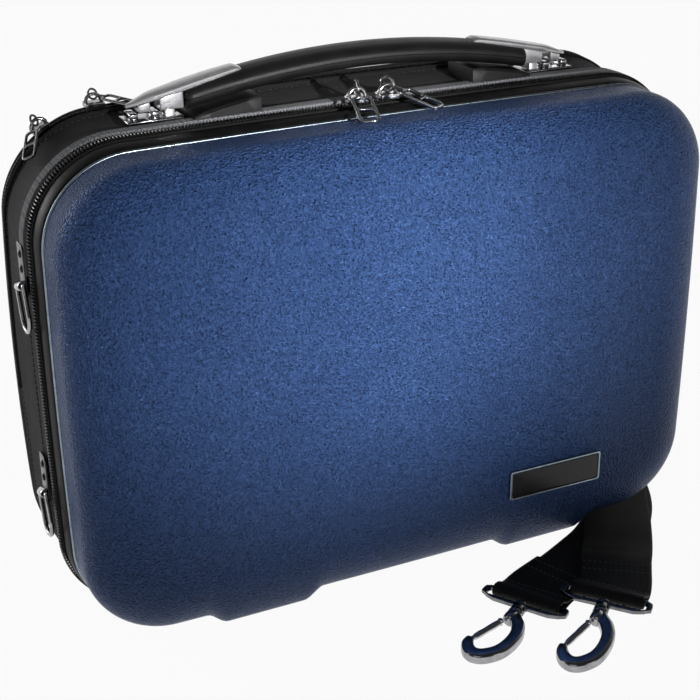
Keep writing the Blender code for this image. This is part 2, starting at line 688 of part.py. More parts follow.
def build_tray():
    inset = -BASE_WALL - TRAY_CLEARANCE
    front = BASE_FRONT_Y + TRAY_FRONT_SET_BACK
    back = TRAY_BACK_Y - TRAY_CLEARANCE
    tray = shell("foam_tray", [(inset, y) for y in (front, REST_START_Y, MIDDLE_Y, back)], BLACK_PLUSH)
    floor = back - RECESS_FLOOR
    for name, (left, right, low, high) in tray_layout().items():
        cutter = box(f"recess_{name}", (left, front - OVERRUN, low), (right, floor, high), BLACK_PLUSH,
                     collection=TOOLS)
        rounding = cutter.modifiers.new("rounding", "BEVEL")
        rounding.width = RECESS_ROUND
        rounding.segments = 2
        rounding.affect = "EDGES"
        rounding.limit_method = "WEIGHT"
        weights = cutter.data.attributes.new("bevel_weight_edge", "FLOAT", "EDGE")
        for edge in cutter.data.edges:
            start, end = (cutter.data.vertices[k].co for k in edge.vertices)
            along_y = abs(start.y - end.y) > abs(start.x - end.x) + abs(start.z - end.z)
            weights.data[edge.index].value = 1.0 if along_y else 0.0
        combine(tray, cutter, "DIFFERENCE")
    left, right, low, high = tray_layout()["accessory"]
    ledge = box("accessory_ledge", (left - ACCESSORY_LEDGE, front - OVERRUN, low - ACCESSORY_LEDGE),
                (right + ACCESSORY_LEDGE, front + ACCESSORY_LID_THICKNESS + GAP, high + ACCESSORY_LEDGE),
                BLACK_PLUSH, collection=TOOLS)
    combine(tray, ledge, "DIFFERENCE")
    for side in (-1, 1):
        half = TONGUE_WIDTH / 2 + BACKING_OVERHANG + TRAY_CLEARANCE
        deep = BACKING_OVERHANG + TRAY_CLEARANCE
        room = box(f"stop_room_{side}", (side * TONGUE_X - half, HANDLE_Y - deep, stop_low() - STOP_ROOM),
                   (side * TONGUE_X + half, HANDLE_Y + deep, CASE_WIDTH), BLACK_PLUSH, collection=TOOLS)
        combine(tray, room, "DIFFERENCE")
    build_accessory_lid(front, (left, right, low, high))


def build_accessory_lid(front, place_of):
    left, right, low, high = place_of
    edge = ACCESSORY_LEDGE - GAP
    lid = box("accessory_lid", (left - edge, front, low - edge),
              (right + edge, front + ACCESSORY_LID_THICKNESS, high + edge), BLACK_PLUSH)
    centre = ((left + right) / 2, high + edge)
    notch = cylinder("thumb_notch", (centre[0], front - OVERRUN, centre[1]),
                     (centre[0], front + ACCESSORY_LID_THICKNESS + OVERRUN, centre[1]),
                     THUMB_NOTCH / 2, BLACK_PLUSH, collection=TOOLS)
    combine(lid, notch, "DIFFERENCE")


# Handle: two grip halves round a steel strap, with end caps that slide up through guide brackets
def grip_height(x):
    middle = top_height(0, HANDLE_Y) + GRIP_MIDDLE_RISE
    return middle - GRIP_ARCH * (x / GRIP_HALF_LENGTH) ** 2


def bracket_seat():
    return top_height(BRACKET_INNER, HANDLE_Y + BRACKET_HALF_DEPTH) + GAP


def backing_top():
    lowest = top_height(TONGUE_X + BACKING_OVERHANG + TONGUE_WIDTH / 2, HANDLE_Y - BACKING_OVERHANG, -BASE_WALL)
    return lowest - GAP


def stop_high():
    return backing_top() - BACKING_THICKNESS - HANDLE_LIFT - GAP


def stop_low():
    return stop_high() - STOP_THICKNESS


def tongue_slot(name, side, low, high):
    half = TONGUE_WIDTH / 2 + TONGUE_CLEARANCE
    deep = TONGUE_HALF_DEPTH + TONGUE_CLEARANCE
    return box(name, (side * TONGUE_X - half, HANDLE_Y - deep, low),
               (side * TONGUE_X + half, HANDLE_Y + deep, high), BLACK_NYLON, collection=TOOLS)


GRIP_TOP_SHARES = ((-1.0, 0.03), (-0.99, 0.22), (-0.90, 0.55), (-0.62, 0.88), (-0.22, 1.0),
                   (0.22, 1.0), (0.62, 0.88), (0.90, 0.55), (0.99, 0.22), (1.0, 0.03))
GRIP_LOW_SHARES = ((1.0, -0.03), (0.97, -0.22), (0.84, -0.62), (0.50, -1.0), (-0.50, -1.0),
                   (-0.84, -0.62), (-0.97, -0.22), (-1.0, -0.03))
GRIP_STATIONS = 7


def grip_half_depth(x):
    return mix(GRIP_HALF_DEPTH, GRIP_END_HALF_DEPTH, (abs(x) / GRIP_HALF_LENGTH) ** 2)


def grip_stations():
    inner = [CAP_START * k / (GRIP_STATIONS - 2) for k in range(GRIP_STATIONS - 1)]
    outer = [CAP_START + GAP, (CAP_START + GRIP_HALF_LENGTH) / 2, GRIP_HALF_LENGTH]
    right = inner + outer
    return [-x for x in reversed(right)] + right[1:]


def build_grip():
    upper, lower, core = [], [], []
    channel = CORE_HALF_WIDTH + GAP
    depth = CORE_THICKNESS + 2 * GAP
    for x in grip_stations():
        z = grip_height(x)
        deep = grip_half_depth(x)
        rise = GRIP_UP - (CAP_STEP if abs(x) > CAP_START else 0)
        upper.append([(x, HANDLE_Y + a * deep, z + b * rise) for a, b in GRIP_TOP_SHARES])
        low = [(a * deep, b * GRIP_DOWN) for a, b in GRIP_LOW_SHARES]
        edge = low[0][1]
        low += [(-channel, edge), (-channel, edge - depth), (channel, edge - depth), (channel, edge)]
        lower.append([(x, HANDLE_Y + a, z + b) for a, b in low])
        top = z + edge - GAP
        core.append([(x, HANDLE_Y + a, b) for a, b in
                     ((-CORE_HALF_WIDTH, top), (CORE_HALF_WIDTH, top), (CORE_HALF_WIDTH, top - CORE_THICKNESS),
                      (-CORE_HALF_WIDTH, top - CORE_THICKNESS))])
    loft("handle_grip_top", upper, BLACK_RUBBER)
    loft("handle_grip_bottom", lower, BLACK_RUBBER)
    loft("handle_steel_strap", core, DARK_CHROME)


def cap_underside(x):
    """Height of the cap's underside: on the grip, then straight on down to the tip."""
    on_grip = min(x, GRIP_HALF_LENGTH)
    seat = grip_height(on_grip) + GRIP_UP - CAP_STEP + GAP
    slope = 2 * GRIP_ARCH / GRIP_HALF_LENGTH
    return seat - slope * max(x - GRIP_HALF_LENGTH, 0)


def build_cap(side, label):
    rings = []
    half_shares = ((0.0, 0.80), (0.25, 0.95), (0.5, 1.0), (0.75, 0.86), (0.92, 0.50), (1.0, 0.19))
    for along, width in half_shares:
        x = mix(CAP_START + 2 * GAP, CAP_TIP, along)
        z = cap_underside(x)
        half = CAP_HALF_WIDTH * width
        crown = CAP_THICKNESS / 2
        rings.append([(side * x, HANDLE_Y - half, z), (side * x, HANDLE_Y + half, z),
                      (side * x, HANDLE_Y + half, z + crown), (side * x, HANDLE_Y, z + CAP_THICKNESS),
                      (side * x, HANDLE_Y - half, z + crown)])
    cap = loft(f"handle_cap_{label}", rings, CHROME)
    bottom = bracket_seat() + BRACKET_PLATE + GAP
    post = POST_WIDTH / 2 + GAP
    lugs = ((GRIP_HALF_LENGTH + 2 * GAP, INNER_POST - post), (INNER_POST + post, OUTER_POST - post))
    for number, (near, far) in enumerate(lugs):
        tops = [cap_underside(x) + CAP_THICKNESS / 4 for x in (near, far)]
        lug = wedge(f"lug_{label}_{number}", side, near, far, HANDLE_Y - LUG_HALF_DEPTH,
                    HANDLE_Y + LUG_HALF_DEPTH, (bottom, bottom), tops, CHROME, collection=TOOLS)
        combine(cap, lug, "UNION")
    tongue = box(f"tongue_{label}", (side * TONGUE_X - TONGUE_WIDTH / 2, HANDLE_Y - TONGUE_HALF_DEPTH, stop_low()),
                 (side * TONGUE_X + TONGUE_WIDTH / 2, HANDLE_Y + TONGUE_HALF_DEPTH, bottom + OVERRUN),
                 CHROME, collection=TOOLS)
    combine(cap, tongue, "UNION")
    half = TONGUE_WIDTH / 2 + STOP_OVERHANG
    stop = box(f"stop_{label}", (side * TONGUE_X - half, HANDLE_Y - TONGUE_HALF_DEPTH + GAP, stop_low() - GAP),
               (side * TONGUE_X + half, HANDLE_Y + TONGUE_HALF_DEPTH - GAP, stop_high()), CHROME,
               collection=TOOLS)
    combine(cap, stop, "UNION")


def build_bracket(side, label):
    seat = bracket_seat()
    xs = sorted((side * BRACKET_INNER, side * BRACKET_OUTER))
    bracket = box(f"handle_bracket_{label}", (xs[0], HANDLE_Y - BRACKET_HALF_DEPTH, seat),
                  (xs[1], HANDLE_Y + BRACKET_HALF_DEPTH, seat + BRACKET_PLATE), DARK_CHROME)
    for number, x in enumerate((INNER_POST, OUTER_POST)):
        post = box(f"post_{label}_{number}",
                   (side * x - POST_WIDTH / 2, HANDLE_Y - POST_HALF_DEPTH, seat + BRACKET_PLATE / 2),
                   (side * x + POST_WIDTH / 2, HANDLE_Y + POST_HALF_DEPTH, seat + BRACKET_PLATE + POST_HEIGHT),
                   DARK_CHROME, collection=TOOLS)
        combine(bracket, post, "UNION")
    combine(bracket, tongue_slot(f"bracket_slot_{label}", side, POCKET_LEVEL, CASE_WIDTH), "DIFFERENCE")
    top = backing_top()
    reach = TONGUE_WIDTH / 2 + BACKING_OVERHANG
    plate = box(f"handle_backing_plate_{label}",
                (side * TONGUE_X - reach, HANDLE_Y - BACKING_OVERHANG, top - BACKING_THICKNESS),
                (side * TONGUE_X + reach, HANDLE_Y + BACKING_OVERHANG, top), DARK_CHROME)
    combine(plate, tongue_slot(f"backing_slot_{label}", side, POCKET_LEVEL, CASE_WIDTH), "DIFFERENCE")


def build_handle_foot(side, label):
    """Black wedge that the grip's end rests on; its front lip covers the webbing."""
    inner, outer = HANDLE_FOOT_INNER, HANDLE_FOOT_OUTER
    tops = [grip_height(x) - GRIP_DOWN - HANDLE_FOOT_CLEARANCE for x in (inner, outer)]
    lip_back = WEBBING_Y + WEBBING_WIDTH + OVERRUN
    front = lip_back - OVERRUN + GAP
    seats = [top_height(inner, y) + GAP for y in (front, HANDLE_FOOT_BACK)]
    lip_seat = top_height(inner, front) + WEBBING_THICKNESS + 2 * GAP
    foot = wedge(f"handle_foot_{label}", side, inner, outer, front, HANDLE_FOOT_BACK, seats, tops,
                 BLACK_RUBBER)
    lip = wedge(f"foot_lip_{label}", side, inner, outer, WEBBING_Y + FOOT_LIP_INSET, lip_back,
                (lip_seat, lip_seat), tops, BLACK_RUBBER, collection=TOOLS)
    combine(foot, lip, "UNION")


def build_handle():
    build_grip()
    for side, label in ((-1, "left"), (1, "right")):
        build_cap(side, label)
        build_bracket(side, label)
        build_handle_foot(side, label)


# Zip sliders and pulls, built lying on the XY plane with the zip along X and the case front at -Y
def slider_solid(name, scale):
    length, width, thick = (scale * size for size in (SLIDER_LENGTH, SLIDER_WIDTH, SLIDER_THICKNESS))
    body = box(name, (-length / 2, -width / 2, 0), (length / 2, width / 2, thick), CHROME,
               bevel=thick / 4, segments=1)
    points = []
    radius = ARCH_RADIUS * scale
    base = thick - ARCH_WIRE * scale / 2
    for k in range(TUBE_STEPS + 1):
        angle = math.pi * k / TUBE_STEPS
        points.append((radius * math.cos(angle), 0, base + radius * math.sin(angle)))
    arch = solidified(tube(f"{name}_arch", points, ARCH_WIRE * scale, CHROME, collection=TOOLS))
    return combine(body, arch, "UNION"), base + radius


def pull_solid(name, scale, drop, turn):
    """A two-window pull that hangs from a small ring; drop is the fall of its far end as a share."""
    length, width, bar = (scale * size for size in (PULL_LENGTH, PULL_WIDTH, PULL_BAR))
    thick = PULL_THICKNESS * scale
    ring = PULL_RING_RADIUS * scale
    window = (length - 3 * bar) / 2
    outer = rounded_loop(width, length, bar * 2)
    holes = []
    for middle in (-(window + bar) / 2, (window + bar) / 2):
        holes.append([(x, y + middle) for x, y in rounded_loop(width - 2 * bar, window, bar)])
    plate = solidified(flat_outline(name, [outer, *holes], thick, CHROME))
    neck = PULL_NECK * scale
    move_mesh(plate, Matrix.Translation((0, -length / 2 - ring - neck, 0)))
    link = cylinder(f"{name}_neck", (0, -ring - GAP / 3, 0), (0, -ring - neck - bar * PULL_NECK_SHARE, 0),
                    bar * PULL_NECK_SHARE, CHROME, collection=TOOLS, steps=PULL_NECK_STEPS)
    points = []
    for k in range(TUBE_STEPS):
        angle = 2 * math.pi * k / TUBE_STEPS
        points.append((0, ring * math.cos(angle), ring * math.sin(angle)))
    eye = solidified(tube(f"{name}_eye", points, PULL_RING_WIRE * scale, CHROME, cyclic=True, resolution=1,
                          collection=TOOLS))
    tilt = Matrix.Rotation(math.radians(turn), 4, "Z") @ Matrix.Rotation(math.asin(drop), 4, "X")
    for piece in (plate, link, eye):
        move_mesh(piece, tilt)
    return plate, (link, eye)


def add_slider(label, frame, scale, drop, turn):
    """frame places the local axes: X along the zip, Y away from the case front, Z out of the case."""
    slider, apex = slider_solid(f"{label}_slider", scale)
    pull, additions = pull_solid(f"{label}_pull", scale, drop, turn)
    slider.matrix_world = frame
    for modifier in slider.modifiers:
        if modifier.type == "BOOLEAN":
            modifier.object.matrix_world = frame
    hang = frame @ Matrix.Translation((0, 0, apex))
    pull.matrix_world = hang
    for addition in additions:
        addition.matrix_world = hang
        combine(pull, addition, "UNION")


def build_sliders():
    for label, x, drop, turn in zip(("main_left", "main_right"), MAIN_SLIDER_XS, MAIN_DROP_SHARES, MAIN_TURNS):
        z = top_height(0, COIL_Y) + ZIP_TEETH_RISE + GAP
        add_slider(label, Matrix.Translation((x, COIL_Y, z)), 1.0, drop, turn)
    ring = case_ring(BACK_Y - POCKET_ROUND, 0)
    add_slider("pocket_low", seat_on(ring, TOP_LEFT_INDEX + CORNER_STEPS * POCKET_LOW_PLACE_SHARE, POCKET_ZIP_Y),
               POCKET_SLIDER_SCALE, POCKET_LOW_DROP_SHARE, POCKET_LOW_TURN)
    add_slider("pocket_high", seat_on(ring, TOP_LEFT_INDEX - POCKET_HIGH_PLACE_SHARE, POCKET_ZIP_Y),
               POCKET_SLIDER_SCALE, POCKET_HIGH_DROP_SHARE, POCKET_HIGH_TURN)


def seat_on(ring, place_on_ring, y):
    """A frame on the outline, X along it and Z outwards; the place counts its points."""
    index = int(place_on_ring)
    start, end = ring[index], ring[index + 1]
    seat = start.lerp(end, place_on_ring - index)
    lean = Matrix.Rotation(-math.atan2(start.z - end.z, start.x - end.x), 4, "Y")
    return Matrix.Translation((seat.x, y, seat.z)) @ lean @ Matrix.Translation((0, 0, 2 * GAP))


# Side rings: a plate on the case side with a bridge that holds a D-shaped ring
def ring_points():
    points = [(0, RING_HALF_WIDTH, 0), (0, 0, 0), (0, -RING_HALF_WIDTH, 0)]
    for k in range(TUBE_STEPS + 1):
        angle = math.pi * (1 + k / TUBE_STEPS)
        points.append((0, RING_HALF_WIDTH * math.cos(angle), -RING_DROP + RING_HALF_WIDTH * math.sin(angle)))
    return points


def build_ring(side, level, label):
    wall = side_reach(level) + GAP
    low, high = sorted((side * wall, side * (wall + RING_PLATE_THICKNESS)))
    plate = box(f"ring_plate_{label}", (low, RING_Y - RING_PLATE_WIDTH / 2, level - RING_PLATE_DROP),
                (high, RING_Y + RING_PLATE_WIDTH / 2, level - RING_PLATE_DROP + RING_PLATE_LENGTH), DARK_CHROME)
    low, high = sorted((side * (wall + RING_PLATE_THICKNESS / 2), side * (wall + BRIDGE_HEIGHT)))
    bridge = box(f"bridge_{label}", (low, -BRIDGE_LENGTH / 2, -BRIDGE_WIDTH / 2),
                 (high, BRIDGE_LENGTH / 2, BRIDGE_WIDTH / 2), CHROME, collection=TOOLS)
    lean = Matrix.Translation((0, RING_Y, level)) @ Matrix.Rotation(math.radians(-RING_TILT), 4, "X")
    move_mesh(bridge, lean)
    combine(plate, bridge, "UNION")
    bar_x = side * (wall + RING_PLATE_THICKNESS + GAP + RING_WIRE)
    bore = cylinder(f"bore_{label}", (bar_x, -BRIDGE_LENGTH, 0), (bar_x, BRIDGE_LENGTH, 0),
                    RING_WIRE + RING_CLEARANCE, DARK_CHROME, collection=TOOLS)
    move_mesh(bore, lean)
    combine(plate, bore, "DIFFERENCE")
    ring = tube(f"side_ring_{label}", ring_points(), RING_WIRE, CHROME, cyclic=True)
    ring.matrix_world = lean @ Matrix.Translation((bar_x, 0, 0))


def side_reach(level):
    """How far out the side of the soft half lies at a height, at its widest along the ring plate."""
    reach = 0.0
    for height in (level - RING_PLATE_DROP, level, level - RING_PLATE_DROP + RING_PLATE_LENGTH):
        for y in (RING_Y - RING_PLATE_WIDTH / 2, RING_Y + RING_PLATE_WIDTH / 2):
            shape = case_shape(y, 0)
            middle = (shape["low"] + shape["high"]) / 2
            up = (height - middle) / (shape["high"] - middle)
            reach = max(reach, shape["half"] - shape["bow"] * up ** 2)
    return reach


def build_rings():
    for side, flank in ((-1, "left"), (1, "right")):
        for level, height in zip(RING_LEVELS, ("upper", "lower")):
            build_ring(side, level, f"{flank}_{height}")


# Shoulder strap: each arm runs from its hook, under the corner of the case, to the folds behind it.
# Its points are given by how far in they lie from the side of the case, and by their Y
LEFT_ARM_INSETS = ((0.1330, -0.1150), (0.1150, -0.1045), (0.0950, -0.0965), (0.0770, -0.0880),
                   (0.0600, -0.0790), (0.0440, -0.0665), (0.0300, -0.0500), (0.0195, -0.0310),
                   (0.0125, -0.0100), (0.0090, 0.0120), (0.0090, 0.0350))
RIGHT_ARM_INSETS = ((0.0980, -0.1365), (0.0845, -0.1240), (0.0730, -0.1080), (0.0590, -0.0900),
                    (0.0460, -0.0710), (0.0340, -0.0520), (0.0230, -0.0330), (0.0140, -0.0130),
                    (0.0090, 0.0100), (0.0090, 0.0350))
LEFT_ARM, RIGHT_ARM = ([(CASE_WIDTH / 2 - inset, y) for inset, y in places]
                       for places in (LEFT_ARM_INSETS, RIGHT_ARM_INSETS))
LEFT_LAYERS = (0,) * len(LEFT_ARM)
RIGHT_LAYERS = (2, 2, 2, 1, 1, 1, 1, 1, 1, 1)
HOOK_TURNS = (-147.0, -140.0)


def ribbon(name, points, sides, material):
    """A flat webbing strip along the points; sides gives the direction across it at each point."""
    rings = []
    last = len(points) - 1
    for i, (point, side) in enumerate(zip(points, sides)):
        tangent = (points[min(i + 1, last)] - points[max(i - 1, 0)]).normalized()
        normal = side.cross(tangent).normalized() * STRAP_THICKNESS / 2
        across = side * STRAP_WIDTH / 2
        rings.append([point - across - normal, point + across - normal, point + across + normal,
                      point - across + normal])
    return loft(name, rings, material)


def layer_height(layer):
    return layer * (STRAP_THICKNESS + GAP) + STRAP_THICKNESS / 2


def build_arm(label, route, layers, axis, heading):
    """The webbing's sewn end lies on top, turns round the hook's bar and runs back along the route."""
    start = Vector((*route[0], 0))
    ahead = Vector((math.cos(heading), math.sin(heading), 0))
    across = Vector((ahead.y, -ahead.x, 0))
    radius = math.hypot(HOOK_BAR, HOOK_FRAME_THICKNESS) / 2 + STRAP_THICKNESS / 2 + GAP
    upper = layer_height(layers[0] + 1)
    points = [start - ahead * reach + Vector((0, 0, upper)) for reach in (SEWN_LENGTH, FLAP_FALL)]
    for k in range(7):
        angle = math.pi * k / 6
        points.append(start + ahead * radius * math.sin(angle) + Vector((0, 0, axis + radius * math.cos(angle))))
    points.append(start - ahead * FLAP_FALL + Vector((0, 0, layer_height(layers[0]))))
    sides = [across] * len(points)
    flat = [Vector((*spot, layer_height(layer))) for spot, layer in zip(route, layers)]
    for i in range(1, len(flat)):
        tangent = flat[min(i + 1, len(flat) - 1)] - flat[i - 1]
        points.append(flat[i])
        sides.append(Vector((-tangent.y, tangent.x, 0)).normalized())
    return ribbon(f"strap_arm_{label}", points, sides, BLACK_NYLON)


def build_folds():
    """The rest of the strap, folded to and fro in a flat bundle behind the case."""
    end_x, end_y = LEFT_ARM[-1]
    right = end_x + STRAP_WIDTH / 2
    front = end_y + GAP
    high = STRAP_LAYERS * (STRAP_THICKNESS + GAP)
    box("strap_folds", (right - FOLD_LENGTH, front, 0), (right, front + STRAP_WIDTH, high), BLACK_NYLON,
        bevel=STRAP_THICKNESS)


HOOK_ROUTE_SHARES = ((0.0, 0.10), (0.16, 0.62), (0.36, 0.98), (0.58, 1.0), (0.78, 0.78), (0.93, 0.25),
                     (0.97, -0.25), (0.92, -0.68), (0.82, -0.95), (0.71, -1.05))
HOOK_TAPER_SHARES = (1.0, 1.0, 1.0, 1.0, 1.0, 1.05, 1.05, 1.0, 0.9, 0.75)


def build_hook(label, route, axis, heading):
    """Hook frame, swivelling hook and sprung gate, built along +X from the bar, with the tip on the surface."""
    pitch = math.asin((axis - HOOK_WIRE - GAP) / (HOOK_FRAME_DEPTH + HOOK_LENGTH))
    frame = (Matrix.Translation((*route[0], axis)) @ Matrix.Rotation(heading, 4, "Z")
             @ Matrix.Rotation(pitch, 4, "Y"))
    slot_front = HOOK_BAR / 2 + HOOK_SLOT_DEPTH
    outer = rounded_loop(HOOK_FRAME_DEPTH, HOOK_FRAME_LENGTH, HOOK_BAR)
    shift = (HOOK_FRAME_DEPTH - HOOK_BAR) / 2
    slot_middle = HOOK_BAR / 2 + HOOK_SLOT_DEPTH / 2 - shift
    slot = [(x + slot_middle, y) for x, y in rounded_loop(HOOK_SLOT_DEPTH, HOOK_SLOT_LENGTH, HOOK_BAR / 2)]
    plate = solidified(flat_outline(f"hook_frame_{label}", [outer, slot], HOOK_FRAME_THICKNESS, DARK_CHROME))
    move_mesh(plate, Matrix.Translation((shift, 0, 0)))
    back = slot_front + GAP
    boss = cylinder(f"boss_{label}", (back, 0, 0), (back + BOSS_LENGTH, 0, 0), BOSS_RADIUS, DARK_CHROME,
                    collection=TOOLS)
    bore = cylinder(f"swivel_bore_{label}", (slot_front - OVERRUN, 0, 0), (back + BOSS_LENGTH + OVERRUN, 0, 0),
                    STEM_RADIUS + STEM_CLEARANCE, DARK_CHROME, collection=TOOLS)
    combine(plate, boss, "UNION")
    combine(plate, bore, "DIFFERENCE")
    start = back + BOSS_LENGTH + GAP
    bow = HOOK_LENGTH - HOOK_WIRE
    points = [(start + HOOK_WIRE + along * bow, across * HOOK_SIDE, 0) for along, across in HOOK_ROUTE_SHARES]
    hook = solidified(tube(f"hook_{label}", points, HOOK_WIRE, DARK_CHROME, thickness=HOOK_TAPER_SHARES))
    neck = cylinder(f"neck_{label}", (start, 0, 0), (start + NECK_LENGTH, 0, 0), BOSS_RADIUS, DARK_CHROME,
                    collection=TOOLS)
    head_front = slot_front - GAP
    stem = cylinder(f"stem_{label}", (head_front - STEM_HEAD_LENGTH / 2, 0, 0), (start + GAP, 0, 0),
                    STEM_RADIUS, DARK_CHROME, collection=TOOLS)
    head = cylinder(f"stem_head_{label}", (head_front - STEM_HEAD_LENGTH, 0, 0), (head_front, 0, 0),
                    STEM_HEAD_RADIUS, DARK_CHROME, collection=TOOLS)
    for piece in (neck, stem, head):
        combine(hook, piece, "UNION")
    tip = points[-1]
    pin = Vector((start + NECK_LENGTH + GATE_THICKNESS / 4 + GAP, -GATE_PIN_SIDE, 0))
    reach = Vector((tip[0] - GATE_THICKNESS / 4 - GAP, tip[1] + GATE_THICKNESS / 4, 0))
    gate = cylinder(f"hook_gate_{label}", pin, reach, GATE_THICKNESS / 2, CHROME)
    for piece in (plate, hook, gate, boss, bore, neck, stem, head):
        piece.matrix_world = frame


def build_strap():
    arms = zip(("left", "right"), (LEFT_ARM, RIGHT_ARM), (LEFT_LAYERS, RIGHT_LAYERS), HOOK_HEIGHTS, HOOK_TURNS)
    for label, route, layers, axis, turn in arms:
        build_arm(label, route, layers, axis, math.radians(turn))
        build_hook(label, route, axis, math.radians(turn))
    build_folds()


build_lid()
build_badge()
build_base_shell()
build_pocket()
build_base_trim()
build_tray()
build_handle()
build_sliders()
build_rings()
build_strap()
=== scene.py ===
"""Dressed model of the zip-closed clarinet case, built round the CAD frame. Metres, +Z up, front towards -Y."""
import math

import bmesh
import bpy
from mathutils import Matrix, Vector, noise


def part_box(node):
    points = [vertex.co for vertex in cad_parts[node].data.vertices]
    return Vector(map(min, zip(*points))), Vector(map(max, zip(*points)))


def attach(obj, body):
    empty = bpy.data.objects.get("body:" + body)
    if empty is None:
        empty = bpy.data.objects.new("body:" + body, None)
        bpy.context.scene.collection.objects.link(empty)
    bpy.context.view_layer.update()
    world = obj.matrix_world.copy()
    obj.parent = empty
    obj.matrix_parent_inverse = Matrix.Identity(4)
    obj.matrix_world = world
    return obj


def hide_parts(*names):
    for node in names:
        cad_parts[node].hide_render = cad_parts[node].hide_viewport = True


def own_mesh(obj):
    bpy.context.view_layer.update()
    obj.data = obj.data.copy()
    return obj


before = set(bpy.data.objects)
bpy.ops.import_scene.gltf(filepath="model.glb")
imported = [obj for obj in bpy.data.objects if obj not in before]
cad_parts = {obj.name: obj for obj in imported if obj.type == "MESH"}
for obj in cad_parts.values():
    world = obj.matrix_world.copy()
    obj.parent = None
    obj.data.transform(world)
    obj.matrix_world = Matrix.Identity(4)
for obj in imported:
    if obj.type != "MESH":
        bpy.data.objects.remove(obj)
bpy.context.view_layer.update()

# Sizes repeated from the part's source
RIM_Y = -0.0405
COIL_Y = -0.025
FRONT_Y = -0.0735
BACK_Y = 0.025
BAND_DEPTH = 0.0155
BASE_DEPTH = 0.050
FOOT_HEIGHT = 0.006
POCKET_LEVEL = 0.121
POCKET_ZIP_Y = 0.0195
HANDLE_Y = -0.0045
WEBBING_Y = -0.0207
WEBBING_WIDTH = 0.008
STRAP_WIDTH = 0.038
STRAP_THICKNESS = 0.0016
GAP = 0.0003
HALF_CASE = 0.175

# Fineness of the outline
CORNER_STEPS = 22
SIDE_STEPS = 10
TOP_STEPS = 12


def mix(start, end, share):
    return start + (end - start) * share


def smoothstep(x):
    x = min(max(x, 0.0), 1.0)
    return x * x * (3 - 2 * x)


def case_shape(y, offset):
    step = min(max((y - RIM_Y) / BAND_DEPTH, 0), 1)
    back = min(max((y - COIL_Y) / BASE_DEPTH, 0), 1)
    rest = min(back / 0.2, 1)
    rim_radius = 0.0425 + 0.0025 * step
    return {
        "half": HALF_CASE + 0.0025 * step + 0.0035 * back + offset,
        "high": 0.2497 + 0.0025 * step + 0.0071 * back ** 3 + offset,
        "low": (FOOT_HEIGHT - 0.0025 * step) * (1 - rest) - offset,
        "high_radius": max(mix(rim_radius, 0.0455, back) + offset, 0.004),
        "low_radius": max(mix(rim_radius, 0.058, rest) + offset, 0.004),
        "bow": mix(0.0018, 0.0055, back),
        "low_bow": 0.0018 * (1 - rest),
    }


def case_ring(y, offset, steps=CORNER_STEPS, flat=TOP_STEPS):
    """Points of the outline, anticlockwise seen from the front, starting at the middle of the bottom."""
    shape = case_shape(y, offset)
    half, low, high = shape["half"], shape["low"], shape["high"]
    low_r, high_r = shape["low_radius"], shape["high_radius"]
    right = [((half - low_r) * k / flat, low) for k in range(flat)]
    for k in range(steps + 1):
        angle = math.pi / 2 * (k / steps - 1)
        right.append((half - low_r + low_r * math.cos(angle), low + low_r + low_r * math.sin(angle)))
    for k in range(1, SIDE_STEPS):
        right.append((half, mix(low + low_r, high - high_r, k / SIDE_STEPS)))
    for k in range(steps + 1):
        angle = math.pi / 2 * k / steps
        right.append((half - high_r + high_r * math.cos(angle), high - high_r + high_r * math.sin(angle)))
    right += [((half - high_r) * (1 - k / TOP_STEPS), high) for k in range(1, TOP_STEPS + 1)]
    points = right + [(-x, z) for x, z in reversed(right[1:-1])]
    middle = (low + high) / 2
    bowed = []
    for x, z in points:
        across = x / half
        up = (z - middle) / (high - middle)
        bow = shape["bow"] if up > 0 else shape["low_bow"]
        bowed.append(Vector((x - shape["bow"] * across * up ** 2, y, z - bow * up * across ** 2)))
    return bowed


def top_height(x, y, offset=0.0):
    shape = case_shape(y, offset)
    return shape["high"] - shape["bow"] * (x / shape["half"]) ** 2


# Mesh helpers
def make(name, mesh_data, material, body, nodes=(), sharp=35.0):
    """A mesh piece from (points, faces), riding on a body and standing for CAD nodes."""
    points, faces = mesh_data
    mesh = bpy.data.meshes.new(name)
    mesh.from_pydata([tuple(p) for p in points], [], faces)
    bm = bmesh.new()
    bm.from_mesh(mesh)
    bmesh.ops.remove_doubles(bm, verts=bm.verts, dist=1e-6)
    bmesh.ops.dissolve_degenerate(bm, edges=bm.edges, dist=1e-7)
    bmesh.ops.recalc_face_normals(bm, faces=bm.faces)
    bm.to_mesh(mesh)
    bm.free()
    mesh.shade_smooth()
    mesh.set_sharp_from_angle(angle=math.radians(sharp))
    item = bpy.data.objects.new(name, mesh)
    bpy.context.scene.collection.objects.link(item)
    mesh.materials.append(material)
    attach(item, body)
    if nodes:
        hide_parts(*([nodes] if isinstance(nodes, str) else nodes))
    return item


def joined(*parts):
    points, faces = [], []
    for more, their_faces in parts:
        start = len(points)
        points += more
        faces += [tuple(start + i for i in face) for face in their_faces]
    return points, faces


def lofted(rings, closed=True, looped=False, caps=True):
    """Faces between rings of equally many points."""
    count = len(rings[0])
    points = [p for ring in rings for p in ring]
    faces = []
    pairs = [(k, k + 1) for k in range(len(rings) - 1)]
    if looped:
        pairs.append((len(rings) - 1, 0))
    for a, b in pairs:
        for i in range(count if closed else count - 1):
            j = (i + 1) % count
            faces.append((a * count + i, a * count + j, b * count + j, b * count + i))
    if caps and not looped and closed:
        faces.append(tuple(range(count)))
        faces.append(tuple((len(rings) - 1) * count + i for i in range(count)))
    return points, faces


